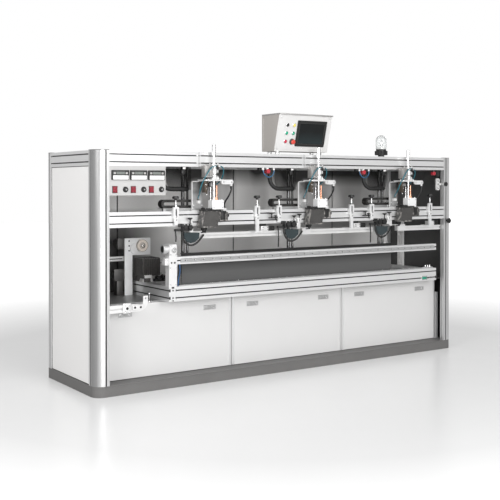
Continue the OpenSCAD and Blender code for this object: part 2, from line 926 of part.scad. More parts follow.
chain_x = -415;
chain_l = 348;
chain_w = 60;
chain_y = 85;
tray_h = 22;
chain_h = 70;
link_pitch = 24;

module chain_trays() {
  color("silver")
  for (x = stations) {
    translate([x + chain_x, -hd + 52, beam_top]) rotate([90, 0, 90]) linear_extrude(chain_l)
      polygon([[0, 0], [24, 0], [24, tray_h - 3], [chain_w + 36, tray_h - 3],
               [chain_w + 36, tray_h], [0, tray_h]]);
  }
}

// A drag chain folded once: two runs and a half turn, with grooves between its links
module drag_chain() {
  r = chain_h / 2;
  t = 22;
  straight = chain_l - r;
  n = floor((straight - 10) / link_pitch);
  difference() {
    standing(chain_w) difference() {
      union() {
        translate([r, 0]) square([straight, chain_h]);
        translate([r, r]) circle(r = r, $fn = 96);
      }
      translate([r, t]) square([straight + eps, chain_h - 2 * t]);
      translate([r, r]) circle(r = r - t, $fn = 96);
    }
    for (i = [0:n], z = [-eps, chain_h - 3]) {
      translate([r + i * link_pitch, -eps, z]) cube([3, chain_w + 2 * eps, 3 + eps]);
    }
    for (a = [20:35:160]) {
      translate([r, -eps, r]) rotate([0, -90 - a, 0]) translate([r - 3, 0, -1.5])
        cube([4, chain_w + 2 * eps, 3]);
    }
    for (i = [0:n], z = [t / 2, chain_h - t / 2]) {
      translate([r + 13 + i * link_pitch, -eps, z]) rotate([-90, 0, 0])
        cylinder(d = 9, h = 3 + eps, $fn = 24);
    }
  }
}

module drag_chains() {
  color("black")
  for (x = stations) {
    translate([x + chain_x, -hd + chain_y, beam_top + tray_h]) drag_chain();
  }
}

// Feed drive at the left end: an inverted L plate with a wheel and a geared motor
feed_x0 = rail_x0 - 166;
feed_x1 = rail_x0 + 80;
feed_y = 604;
feed_t = 12;
feed_top = deck_z + 484;
arm_z = deck_z + 338;
leg_w = 73;
wheel_x = rail_x0 - 9;
wheel_z = deck_z + 419;

module feed_plate() {
  h = feed_top - deck_z;
  w = feed_x1 - feed_x0;
  color("silver")
  difference() {
    union() {
      translate([feed_x0, -hd + feed_y, deck_z]) standing(feed_t)
      difference() {
        rounded_top(w, h, 8);
        translate([leg_w, -eps]) square([w, arm_z - deck_z + eps]);
      }
      translate([wheel_x - 56, -hd + feed_y - 8, wheel_z - 26]) rotate([-90, 0, 0])
        cylinder(d = wheel_d - 6, h = 8 + eps, $fn = 64);
    }
    translate([wheel_x, -hd + feed_y - 9, wheel_z]) rotate([-90, 0, 0])
      cylinder(d = 20 + 2 * run, h = feed_t + 18, $fn = 64);
    for (z = [-46, 0, 46]) {
      translate([feed_x0 + 42, -hd + feed_y - eps, wheel_z + z * 0.9]) rotate([-90, 0, 0])
        cylinder(d = 14, h = feed_t + 2 * eps, $fn = 32);
    }
  }
}

module feed_wheel() {
  face = 14;
  off = 14;
  color("bisque")
  translate([wheel_x, -hd + feed_y, wheel_z]) rotate([90, 0, 0]) {
    difference() {
      translate([0, 0, off]) cylinder(d = wheel_d, h = face, $fn = 96);
      for (a = [0:60:300]) {
        rotate(a) translate([wheel_d / 2 - 16, 0, off + face - 4]) cylinder(d = 10, h = 5, $fn = 32);
      }
      translate([0, 0, off + face - 2]) difference() {
        cylinder(d = wheel_d - 12, h = 3, $fn = 96);
        translate([0, 0, -eps]) cylinder(d = 44, h = 4, $fn = 64);
      }
    }
    translate([0, 0, off + face - eps]) cylinder(d = 28, h = 8, $fn = 48);
    translate([0, 0, -feed_t - 12]) cylinder(d = 20, h = feed_t + 12 + off + eps, $fn = 64);
    translate([0, 0, -feed_t - 18]) cylinder(d = 32, h = 6, $fn = 48);
  }
}

// Geared motor in front of the plate's leg, on a block that stands on the cross beam
module feed_motor() {
  x0 = rail_x0 - 75;
  w = motor_w;
  h = motor_h;
  z0 = deck_z + rail_h + 50;
  y0 = feed_y - motor_l;
  color("dimgray") {
    translate([x0, -hd + y0, z0]) difference() {
      cube([w, motor_l, h]);
      for (i = [0:6]) {
        translate([-eps, 20 + i * 18, -eps]) cube([5, 8, h + 2 * eps]);
      }
    }
    translate([x0 + w, -hd + y0 + 20, z0 + 10]) cube([70, 110, h - 30]);
    translate([x0 + w + 70, -hd + y0 + 75, z0 + 70]) rotate([0, 90, 0]) cylinder(d = 60, h = 30, $fn = 64);
    translate([rail_x0 - cross_w + 6, -hd + cross_len - 190, deck_z + rail_h])
      cube([cross_w - 12, 150, z0 - deck_z - rail_h]);
  }
}

bracket_z = deck_z + 261;
bearing_z = bracket_z + 110;

// The white end bracket: a post on the left cross beam, a block and the chuck's bearing
module end_bracket() {
  x0 = rail_x0 - cross_w;
  z0 = deck_z + rail_h;
  color("whitesmoke")
  difference() {
    union() {
      translate([x0, -hd, z0]) cube([cross_w, rail_d, bracket_z - z0]);
      translate([x0, -hd - 3, bracket_z]) standing(rail_d + 3) rounded(cross_w, 74, 6);
      translate([x0, -hd, bracket_z + 70]) cube([cross_w, rail_d, 40]);
      translate([x0 + 3, -hd - 4, bearing_z]) standing(rail_d + 8) rounded(cross_w - 6, 90, 5);
      translate([x0 + cross_w / 2 + 4, -hd - 12, bearing_z + 44]) rotate([-90, 0, 0])
        cylinder(d = 44, h = 10, $fn = 48);
    }
    for (u = [0.32, 0.72]) {
      translate([x0 + cross_w * u, -hd - 4, bracket_z + 52]) rotate([-90, 0, 0])
        cylinder(d = 17, h = 24, $fn = 32);
    }
    translate([x0 + cross_w / 2 + 4, -hd - 12 - eps, bearing_z + 44]) rotate([-90, 0, 0])
      cylinder(d = 12, h = 12, $fn = 32);
  }
}

module loading_chuck() {
  x0 = rail_x0 - cross_w + 3;
  color("silver")
  translate([x0, -hd + rail_d / 2, bearing_z + 52]) rotate([0, -90, 0])
  difference() {
    union() {
      cylinder(d = 62, h = 16, $fn = 96);
      translate([0, 0, 15]) cylinder(d = 76, h = 36, $fn = 96);
    }
    translate([0, 0, 27]) cylinder(d = 58, h = 26, $fn = 96);
  }
}

// A short rail from the left post with a curved white arm
module side_stub() {
  l = 180;
  z0 = deck_z - 53;
  color("gainsboro") {
    translate([-inner_x, -hd, z0]) bar_x_dir(l, rail_d - 16, rail_d, 1, 1);
    translate([-inner_x + l, -hd, z0]) standing(12)
    difference() {
      union() {
        square([70, rail_d]);
        translate([70, rail_d + 20]) difference() {
          circle(r = 80, $fn = 96);
          circle(r = 40, $fn = 96);
          translate([-90, -90]) square([90, 180]);
          translate([-90, 0]) square([180, 90]);
        }
        translate([110, rail_d + 19]) square([40, 40]);
      }
      translate([130, rail_d + 40]) circle(d = 14, $fn = 32);
    }
  }
}

duct_w = 60;
duct_d = 40;
duct_pitch = 20;

// Slotted wiring duct on the right wall
module wiring_duct() {
  z0 = deck_z + 57;
  h = beam_z - 20 - z0;
  n = floor((h - 20) / duct_pitch) - 1;
  color("whitesmoke")
  translate([wall_x - duct_w, 200, z0])
  difference() {
    cube([duct_w, duct_d, h]);
    translate([3, 3, -eps]) cube([duct_w - 6, duct_d - 6, h + 2 * eps]);
    for (i = [0:n]) {
      translate([-eps, -eps, 14 + i * duct_pitch]) cube([duct_w * 0.6, 3 + 2 * eps, 9]);
      translate([-eps, -eps, 14 + i * duct_pitch]) cube([3 + 2 * eps, duct_d * 0.8, 9]);
    }
  }
}

// Screen bars hung under the middle beam, each with an end block and a strap to its left clamp
screen_y = -hd + post_lip_t + 7;
screen_d = 40;
strap_y = -hd - 12;
strap_t = 8;
strap_w = 30;
strap_x = -205;
shelf_t = 6;

function bar_len(i) = i == 2 ? screen_last_l : screen_l;

module screen_bar(i) {
  x0 = stations[i] + bar_x[i];
  block_h = screen_h + 12;
  hook_x = stations[i] + strap_x;
  arm_x = stations[i] + clamp_left[i];
  color("whitesmoke") {
    translate([x0, screen_y, screen_z]) bar_x_dir(bar_len(i), screen_d, screen_h, 1, 1);
    translate([x0 - block_l, screen_y, screen_z]) standing(screen_d) rounded(block_l, block_h, 4);
    translate([hook_x, strap_y, screen_z + block_h])
      cube([strap_w, screen_y + screen_d - strap_y, shelf_t]);
    translate([hook_x, screen_y - 20, screen_z + block_h]) cube([x0 - 20 - hook_x, screen_d + 20, shelf_t]);
    translate([hook_x, strap_y, screen_z + block_h]) standing(strap_t)
      rounded_top(strap_w, beam_z + 36 - screen_z - block_h, 12);
    translate([arm_x, strap_y, beam_z + 18]) cube([hook_x + 10 - arm_x, strap_t, 18]);
  }
}

// A slotted clamp that slides on the beam's face, with a screw and a knob
module screen_clamp(x, z0) {
  z1 = beam_top + 34;
  plate_z = beam_z + 60;
  t = 18;
  w = clamp_w;
  slot_z = beam_z + rail_h * 0.75;
  front = strap_y - t;
  foot_t = 8;
  color("gainsboro")
  translate([x - w / 2, front, 0]) {
    translate([0, 0, plate_z]) difference() {
      standing(t) rounded(w, z1 - plate_z, 4);
      translate([w / 2 - 7, -eps, 12]) standing(t + 2 * eps) rounded(14, z1 - plate_z - 24, 6.9);
    }
    translate([w * 0.2, 0, z0]) cube([w * 0.6, t, plate_z + 6 - z0]);
    translate([0, t - eps, plate_z + 6]) cube([w, 12 - gap + eps, slot_z - plate_z + 8]);
    translate([0, t, slot_z - slot_w / 2 + 1]) cube([w, 12 + slot_lip + 2, slot_w - 2]);
    translate([w / 2, t / 2, z1 - 2]) {
      cylinder(d = 10, h = 62, $fn = 32);
      translate([0, 0, 60]) cylinder(d = knob_d * 0.5, h = 10, $fn = 48);
      translate([0, 0, 68]) cylinder(d = knob_d, h = 22, $fn = 64);
    }
  }
}

module screen_clamps(i) {
  shelf_z = screen_z + screen_h;
  right_x = stations[i] + clamp_right[i];
  screen_clamp(stations[i] + clamp_left[i], beam_z + 10);
  screen_clamp(right_x, shelf_z);
  color("gainsboro")
  translate([right_x - clamp_w * 0.3, strap_y - eps, shelf_z])
    cube([clamp_w * 0.6, screen_y + screen_d - strap_y, shelf_t]);
}

base_plinth();
front_posts();
back_posts();
post_caps();
long_rails();
side_rails();
middle_beam();
side_panels();
back_panels();
back_studs();
roof_panel();
cabinet_deck();
cabinet_uprights();
door(0);  // door_left
door(1);  // door_middle
door(2);  // door_right
door_trims();
door_latches();
lower_rail();
upper_rail();
guide_strips();
cross_beams();
apron_panel();
console_feet();
console_housing();
touch_screen();
push_buttons();
emergency_stop();
heater_panel();
heater_controllers();
heater_switches();
heater_knobs();
beacon_base();
beacon_dome();
head_brackets();
air_cylinders();
air_tubes();
stand_rods();
smoked_guards();
chain_trays();
drag_chains();
feed_plate();
feed_wheel();
feed_motor();
end_bracket();
loading_chuck();
side_stub();
wiring_duct();
lift_rod(stations[0]);  // lift_rod_1
lift_rod(stations[1]);  // lift_rod_2
lift_rod(stations[2]);  // lift_rod_3
squeegee(stations[0]);  // squeegee_1
squeegee(stations[1]);  // squeegee_2
squeegee(stations[2]);  // squeegee_3
screen_bar(0);  // screen_bar_1
screen_bar(1);  // screen_bar_2
screen_bar(2);  // screen_bar_3
screen_clamps(0);  // screen_clamps_1
screen_clamps(1);  // screen_clamps_2
screen_clamps(2);  // screen_clamps_3
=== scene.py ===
import math

import bmesh
import bpy
from bpy.props import FloatProperty, FloatVectorProperty, PointerProperty
from mathutils import Matrix, Vector


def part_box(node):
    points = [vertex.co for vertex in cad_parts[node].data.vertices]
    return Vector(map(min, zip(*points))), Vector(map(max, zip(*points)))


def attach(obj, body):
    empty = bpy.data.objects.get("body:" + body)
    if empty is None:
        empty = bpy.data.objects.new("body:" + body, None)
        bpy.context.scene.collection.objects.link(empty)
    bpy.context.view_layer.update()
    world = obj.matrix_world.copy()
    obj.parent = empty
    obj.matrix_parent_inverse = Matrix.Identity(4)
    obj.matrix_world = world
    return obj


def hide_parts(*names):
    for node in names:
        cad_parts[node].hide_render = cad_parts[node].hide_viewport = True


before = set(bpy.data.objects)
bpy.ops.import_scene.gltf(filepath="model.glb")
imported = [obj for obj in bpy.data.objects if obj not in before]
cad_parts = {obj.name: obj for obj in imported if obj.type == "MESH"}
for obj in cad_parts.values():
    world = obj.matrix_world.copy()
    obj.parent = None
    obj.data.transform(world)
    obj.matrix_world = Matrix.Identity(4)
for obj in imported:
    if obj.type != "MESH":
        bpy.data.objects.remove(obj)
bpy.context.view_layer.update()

bl_info = {
    "name": "Mug screen printing machine",
    "version": (1, 0, 0),
    "blender": (4, 5, 0),
    "location": "View3D > Sidebar > Machine",
    "description": "Dresses the packed frame of a mug screen printing machine with finishes and small parts",
    "category": "Object",
}

MM = 0.001
STATIONS = (1, 2, 3)
PISTON_R = 21.95
LEFT, RIGHT = (-1, 0, 0), (1, 0, 0)
FORWARD, BACKWARD = (0, -1, 0), (0, 1, 0)
DOWN, UP = (0, 0, -1), (0, 0, 1)


def corners(node):
    """Lowest and highest corner of a CAD node, in millimetres."""
    low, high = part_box(node)
    return low / MM, high / MM


def middle(node):
    low, high = corners(node)
    return (low + high) / 2


HEAD_X = {n: corners(f"lift_rod_{n}")[1].x - PISTON_R for n in STATIONS}
HEAD_Y = middle("lift_rod_1").y
FRONT_Y = corners("long_rails")[0].y
BACK_Y = corners("back_panels")[1].y
BEAM_Z, BEAM_TOP = (corner.z for corner in corners("middle_beam"))
RAIL_Z, TOP_Z = (corner.z for corner in corners("long_rails"))
CYLINDER_Z, CYLINDER_TOP = (corner.z for corner in corners("air_cylinders"))
DOOR_Y = corners("door_left")[0].y
CROSS_Z = corners("cross_beams")[0].z
CONSOLE_LEAN = math.atan(82 / 330)


class Signal:
    """A socket in a material; arithmetic on signals and numbers adds the Math nodes."""

    def __init__(self, finish, socket):
        self.finish = finish
        self.socket = socket

    def math(self, operation, *values, clamp=False):
        settings = {"operation": operation, "use_clamp": clamp}
        return self.finish.node("ShaderNodeMath", settings, dict(enumerate(values)))

    def __add__(self, other):
        return self.math("ADD", self, other)

    __radd__ = __add__

    def __sub__(self, other):
        return self.math("SUBTRACT", self, other)

    def __rsub__(self, other):
        return self.math("SUBTRACT", other, self)

    def __mul__(self, other):
        return self.math("MULTIPLY", self, other)

    __rmul__ = __mul__

    def __truediv__(self, other):
        return self.math("DIVIDE", self, other)

    def __rtruediv__(self, other):
        return self.math("DIVIDE", other, self)

    def __abs__(self):
        return self.math("ABSOLUTE", self)

    def wrapped(self, period):
        """What is left of the value after whole periods."""
        return self.math("WRAP", self, period, 0.0)

    def clamped(self):
        return self.math("ADD", self, 0.0, clamp=True)

    def past(self, edge, soft):
        """0 below the edge and 1 above it, over a soft step of that width."""
        return ((self - edge) / soft + 0.5).clamped()

    def between(self, low, high, soft):
        return self.past(low, soft) * (1 - self.past(high, soft))


class Finish:
    """A material with a Principled shader, built by expressions."""

    def __init__(self, name):
        self.material = bpy.data.materials.new(name)
        self.material.use_nodes = True
        self.tree = self.material.node_tree
        self.shader = self.tree.nodes["Principled BSDF"]

    def node(self, kind, settings=None, inputs=None, out=0):
        made = self.tree.nodes.new(kind)
        for key, value in (settings or {}).items():
            setattr(made, key, value)
        for key, value in (inputs or {}).items():
            self.feed(made.inputs[key], value)
        return Signal(self, made.outputs[out])

    def feed(self, socket, value):
        if isinstance(value, Signal):
            self.tree.links.new(value.socket, socket)
        else:
            socket.default_value = value

    def set(self, **values):
        """Sets the shader's sockets: base_color=... feeds Base Color, and so on."""
        names = {name.lower().replace(" ", "_"): name for name in self.shader.inputs.keys()}
        for key, value in values.items():
            self.feed(self.shader.inputs[names[key]], value)
        return self

    def parts(self, coordinate):
        apart = self.tree.nodes.new("ShaderNodeSeparateXYZ")
        self.feed(apart.inputs[0], self.node("ShaderNodeTexCoord", out=coordinate))
        return [Signal(self, socket) for socket in apart.outputs]

    def place(self):
        """X, Y and Z on the machine at rest, in metres."""
        return self.parts("Object")

    def facing(self):
        """X, Y and Z of the direction in which the surface looks."""
        return self.parts("Normal")

    def grain(self, scale, stretch=(1, 1, 1), detail=2.0):
        where = self.node("ShaderNodeTexCoord", out="Object")
        spread = self.node("ShaderNodeVectorMath", {"operation": "MULTIPLY"}, {0: where, 1: stretch})
        return self.node("ShaderNodeTexNoise", {}, {"Vector": spread, "Scale": scale, "Detail": detail})

    def mix(self, low, high, share):
        """A colour between two others."""
        return self.node("ShaderNodeMix", {"data_type": "RGBA"}, {0: share, 6: low, 7: high}, out=2)

    def bump(self, height, distance, strength=0.5):
        inputs = {"Height": height, "Distance": distance, "Strength": strength}
        self.set(normal=self.node("ShaderNodeBump", {}, inputs))
        return self


def rgb(level, warm=0.0):
    """A grey of that level, a little warmer or colder."""
    return (level * (1 + warm), level, level * (1 - warm), 1.0)


def coloured(name, colour, rough, metal=0.0, vary=0.06, scale=40.0, coat=0.0):
    """A painted, moulded or cast surface: a cloudy colour, cloudy gloss and a fine grit."""
    finish = Finish(name)
    cloud = finish.grain(scale)
    dark = tuple(part * (1 - vary) for part in colour[:3]) + (1.0,)
    light = tuple(min(1.0, part * (1 + vary)) for part in colour[:3]) + (1.0,)
    finish.set(base_color=finish.mix(dark, light, cloud), metallic=metal, coat_weight=coat)
    finish.set(roughness=cloud * 0.16 + (rough - 0.08))
    return finish.bump(finish.grain(900.0, detail=1.0), 0.0001, 0.4)


def drawn_metal(name, level, rough, along, metal=0.9, vary=0.05):
    """Metal with fine lines along one axis: 0, 1 or 2 for X, Y or Z."""
    finish = Finish(name)
    stretch = [260.0, 260.0, 260.0]
    stretch[along] = 3.0
    lines = finish.grain(1.0, stretch, 3.0)
    cloud = finish.grain(7.0)
    mixed = (lines + cloud) * 0.5
    finish.colour = finish.mix(rgb(level * (1 - vary)), rgb(min(1, level * (1 + vary))), mixed)
    finish.set(base_color=finish.colour, metallic=metal, roughness=lines * 0.14 + (rough - 0.07))
    return finish.bump(lines, 0.00006, 0.3)


SLOT_HALF = 0.0117
SLOT_DEEP = 0.0145
SLOT_SOFT = 0.0006


def profile_finish(node, along, slots=()):
    """Anodised profile with painted shade in its slots: each slot faces an axis, in one sense, at one
    spacing.
    """
    finish = drawn_metal(f"profile_{node}", finishes().profile, 0.34, along, metal=0.6)
    place = finish.place()
    low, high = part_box(node)
    dark = place[0] * 0
    # Painted shade: the inside of each slot is darkened towards near black, as if in shadow.
    for axis, sense, pitch in slots:
        across = ({0, 1, 2} - {along, axis}).pop()
        depth = place[axis] - low[axis] if sense < 0 else high[axis] - place[axis]
        off = (place[across] - low[across]).wrapped(pitch) - pitch / 2
        near = 1 - abs(off).past(SLOT_HALF, SLOT_SOFT)
        dark = dark + depth.between(0.0008, SLOT_DEEP, 0.0004) * near
    return slot_shade(finish, dark)


def slot_shade(finish, dark):
    # Paints the shade into the slots: near black and less metallic where the mask is.
    dark = dark.clamped()
    return finish.set(base_color=finish.mix(finish.colour, rgb(0.02), dark), metallic=(1 - dark) * 0.6)


def post_finish():
    """Round corner post, a darker copy of the profile finish as painted shade: painted shade in the slots
    beside the round, and a soft band of painted shade down the round.
    """
    finish = drawn_metal("profile_posts", finishes().profile * 0.76, 0.30, 2, metal=0.6)
    x, y, _ = finish.place()
    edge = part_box("front_posts")[1].x - abs(x)
    front = y - FRONT_Y * MM
    slot = 0.091
    dark = front.between(0.0008, SLOT_DEEP, 0.0004) * edge.between(slot - SLOT_HALF, slot + SLOT_HALF,
                                                                   SLOT_SOFT)
    dark = dark + edge.between(0.0008, SLOT_DEEP, 0.0004) * front.between(slot - SLOT_HALF,
                                                                          slot + SLOT_HALF, SLOT_SOFT)
    # Painted shade: a soft dark band down the round, where it turns away from the light.
    dark = dark + edge.between(-0.02, 0.034, 0.02) * front.between(0.004, 0.084, 0.02) * 0.62
    return slot_shade(finish, dark)


def side_sheet_finish():
    """Light outer faces; inner faces painted dark as painted shade, cloudy and lighter towards the top."""
    finish = coloured("side_sheet", rgb(finishes().sheet, 0.01), 0.42)
    x, _, z = finish.place()
    inner = (finish.facing()[0] * x * -1.0).past(0.5, 0.2)
    cloud = finish.grain(2.2)
    # Painted shade on the inner faces, which stand in the cabinet's shadow; cloudy, and lighter towards the
    # top.
    shade = finish.mix(rgb(0.030), rgb(0.095), cloud * 0.6 + z.past(1.35, 0.5) * 0.5)
    return finish.set(base_color=finish.mix(rgb(finishes().sheet, 0.01), shade, inner))


def back_sheet_finish():
    """Satin sheet with painted shadows and painted reflections of the pieces in front of it, and painted
    shade at its top and in its lower left corner.
    """
    finish = Finish("back_sheet")
    x, y, z = finish.place()
    # Painted shadows and reflections: soft dark blotches of the pieces in front, in the upper part.
    shade_patches = finish.grain(1.0, (3.4, 1.0, 1.3), 1.0)
    # Painted shade at the top of the wall, under the roof.
    top = z.past(1.69, 0.16)
    # Painted shade in the lower left corner.
    corner = (1 - x.past(-1.02, 0.45)) * (1 - z.past(1.38, 0.10))
    across = (x + 0.358).wrapped(1.245)
    upper = z.past(1.34, 0.10)
    # Painted shade: soft dark upright bands in the upper part, one bay apart.
    bay_shade = 1 - across.between(0.12, 0.88, 0.34)
    # Painted shadow of the middle beam: a dark band below it.
    under = z.between(1.185, 1.262, 0.03) * x.past(-0.70, 0.10)
    painted_shade = (bay_shade * 0.5 + shade_patches.past(0.52, 0.14) * 0.38) * upper + under * 0.7
    dark = (painted_shade + top * 0.8 + corner * 0.9).clamped()
    fine = finish.grain(90.0)
    light = finish.mix(rgb(0.86, 0.012), rgb(0.92, 0.012), fine)
    outside = y.past(0.4405, 0.0004)
    dark = dark * (1 - outside)
    light = finish.mix(light, rgb(0.52, 0.02), outside)
    finish.set(base_color=finish.mix(light, rgb(0.045, 0.02), dark), metallic=0.2)
    finish.set(roughness=fine * 0.08 + 0.30)
    return finish.bump(finish.grain(60.0), 0.00004, 0.2)


def apron_finish():
    """Semi-gloss dark sheet with painted shade and painted reflection: dark at its top edge under the upper
    rail, and lighter towards its foot.
    """
    finish = Finish("apron_sheet")
    z = finish.place()[2]
    low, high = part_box("apron_panel")
    height = (z - low.z) / (high.z - low.z)
    cloud = finish.grain(1.0, (3.0, 1.0, 20.0))
    # Painted shade at the top under the upper rail, and a painted reflection that lightens towards the foot.
    share = (0.72 - height).past(0.12, 0.5) + (cloud - 0.5) * 0.12
    finish.set(base_color=finish.mix(rgb(0.012), rgb(0.082), share.clamped()), metallic=0.1)
    finish.set(roughness=cloud * 0.1 + 0.26)
    return finish.bump(finish.grain(400.0), 0.00005, 0.2)


def console_finish():
    """Light face and lid; greyer sides and back, a darker copy of the paint as painted shade."""
    finish = Finish("console_shell")
    front = (finish.facing()[1] * -1.0).past(0.6, 0.2)
    cloud = finish.grain(6.0)
    # Painted shade: the sides and back get this darker grey, the face the light paint.
    grey = finish.mix((0.385, 0.362, 0.342, 1), (0.415, 0.392, 0.370, 1), cloud)
    finish.set(base_color=finish.mix(grey, rgb(finishes().console, 0.01), front))
    finish.set(roughness=cloud * 0.1 + 0.4)
    return finish.bump(finish.grain(900.0), 0.0001, 0.3)


def motor_finish():
    """Dark ribbed motor with a light grey gearbox and a painted highlight on its top face."""
    finish = Finish("motor_paint")
    x, _, z = finish.place()
    gear = x.past(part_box("feed_motor")[0].x + 0.1635, 0.0008)
    cloud = finish.grain(50.0)
    dark = finish.mix(rgb(0.05, 0.06), rgb(0.13, 0.05), cloud)
    # Painted highlight: the top face is lighter.
    top = z.past(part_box("feed_motor")[1].z - 0.002, 0.002)
    dark = finish.mix(dark, rgb(0.22, 0.02), top)
    finish.set(base_color=finish.mix(dark, rgb(0.62, 0.01), gear), metallic=0.2)
    finish.set(roughness=cloud * 0.15 + 0.36)
    return finish.bump(finish.grain(700.0), 0.0001, 0.3)


def wheel_finish():
    """Pale turned wheel with fine rings round its hub."""
    finish = Finish("wheel_turned")
    x, _, z = finish.place()
    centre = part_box("feed_wheel")
    middle_x, middle_z = (centre[0].x + centre[1].x) / 2, (centre[0].z + centre[1].z) / 2
    reach = ((x - middle_x) * (x - middle_x) + (z - middle_z) * (z - middle_z))
    reach = reach.math("SQRT", reach)
    rings = (reach * 1500.0).math("SINE", reach * 1500.0) * 0.5 + 0.5
    cloud = finish.grain(60.0)
    cream = finish.mix((0.86, 0.76, 0.66, 1), (0.94, 0.88, 0.80, 1), cloud * 0.6 + rings * 0.4)
    groove = reach.between(0.0235, 0.0262, 0.0005) + reach.between(0.0492, 0.0516, 0.0005)
    finish.set(base_color=finish.mix(cream, (0.16, 0.12, 0.10, 1), groove.clamped()))
    finish.set(roughness=rings * 0.14 + 0.3)
    return finish.bump(rings, 0.0001, 0.4)


def squeegee_finish():
    """Dark grey box under a light crosshead block."""
    finish = Finish("squeegee_paint")
    z = finish.place()[2]
    block = z.past(1.4325, 0.0008)
    rim = z.between(1.4175, 1.4325, 0.0008)
    cloud = finish.grain(30.0)
    worn = finish.grain(34.0, detail=3.0).past(0.56, 0.16)
    body = finish.mix(finish.mix(rgb(0.035, 0.03), rgb(0.08, 0.03), cloud), rgb(0.30, 0.05), worn)
    body = finish.mix(body, rgb(0.012), rim)
    finish.set(base_color=finish.mix(body, rgb(0.78), block), metallic=0.2)
    finish.set(roughness=cloud * 0.15 + 0.38)
    return finish.bump(finish.grain(600.0), 0.0001, 0.3)


def bracket_finish():
    """Light satin parts; the upright plate has a more metallic, darker front between light edges, with
    painted reflection and shade: dark at its top right, lighter towards its foot and its left.
    """
    finish = Finish("bracket_sheet")
    x, y, z = finish.place()
    start = HEAD_X[1] * MM - 0.160
    pitch = (HEAD_X[2] - HEAD_X[1]) * MM
    across = (x - start).wrapped(pitch)
    front = (finish.facing()[1] * -1.0).past(0.6, 0.2) * y.between(-0.4375, -0.4345, 0.0006)
    plate = front * across.between(0.007, 0.183, 0.002) * z.between(1.4265, 1.6575, 0.002)
    cloud = finish.grain(16.0)
    # Painted reflection and shade on the plate's front: dark at the top right, lighter towards the foot and
    # the left.
    share = (1.66 - z) * 1.6 + (0.19 - across) * 1.8 + (cloud - 0.5) * 0.6
    face = finish.mix(rgb(0.045), rgb(0.62), share.clamped())
    light = finish.mix(rgb(0.68, 0.005), rgb(0.76, 0.005), cloud)
    finish.set(base_color=finish.mix(light, face, plate), metallic=plate * 0.3 + 0.3)
    finish.set(roughness=cloud * 0.12 + 0.26)
    return finish.bump(finish.grain(700.0), 0.00006, 0.3)


def clamp_finish():
    """Light satin plates with bright screws above them."""
    finish = Finish("clamp_paint")
    z = finish.place()[2]
    screw = z.past((BEAM_TOP + 35) * MM, 0.0008)
    knob = z.past((BEAM_TOP + 92) * MM, 0.0008)
    cloud = finish.grain(60.0)
    light = finish.mix(rgb(0.66), rgb(0.80), cloud)
    finish.set(base_color=finish.mix(light, rgb(0.012), knob), metallic=(screw * 0.5 + 0.4) * (1 - knob))
    finish.set(roughness=cloud * 0.14 + 0.3)
    return finish.bump(finish.grain(700.0), 0.00008, 0.3)


def dome_finish():
    finish = Finish("dome_clear")
    rings = finish.grain(1.0, (20.0, 20.0, 500.0), 1.0)
    finish.set(base_color=(0.93, 0.95, 0.95, 1.0), transmission_weight=0.9, ior=1.3)
    finish.set(roughness=rings * 0.06 + 0.02, alpha=0.55)
    return finish.bump(rings, 0.0003, 0.5)


def smoked_finish():
    finish = Finish("smoked_sheet")
    cloud = finish.grain(4.0)
    finish.set(base_color=rgb(0.012, 0.02), roughness=cloud * 0.08 + 0.05, alpha=0.4)
    return finish.set(specular_ior_level=0.25)


def display_finish():
    """Dark display glass with a painted cold reflection towards its foot."""
    finish = Finish("display_glass")
    z = finish.place()[2]
    # Painted reflection: a lighter cold tone towards the foot of the glass.
    foot = 1 - z.past(2.045, 0.12)
    cloud = finish.grain(12.0)
    share = foot * 0.7 + cloud * 0.2
    finish.set(base_color=finish.mix(rgb(0.006), (0.022, 0.034, 0.037, 1.0), share),
               specular_ior_level=0.22)
    return finish.set(roughness=cloud * 0.05 + 0.12)


def window_finish():
    """Grey-green display window of a temperature controller."""
    finish = Finish("controller_window")
    cloud = finish.grain(60.0)
    finish.set(base_color=finish.mix((0.13, 0.145, 0.135, 1), (0.22, 0.235, 0.22, 1), cloud))
    return finish.set(roughness=cloud * 0.1 + 0.12, coat_weight=0.5)


def rocker_finish():
    """Dark red translucent rocker, a cloudy mix of dark and brighter red."""
    finish = Finish("rocker_red")
    cloud = finish.grain(70.0)
    finish.set(base_color=finish.mix((0.10, 0.004, 0.010, 1), (0.34, 0.015, 0.035, 1), cloud))
    return finish.set(roughness=cloud * 0.1 + 0.16, coat_weight=0.6)


def finishes():
    return bpy.context.scene.machine_finishes


def recipe(*values, **more):
    """The values of a plain finish, kept until a piece needs them."""
    return values, more


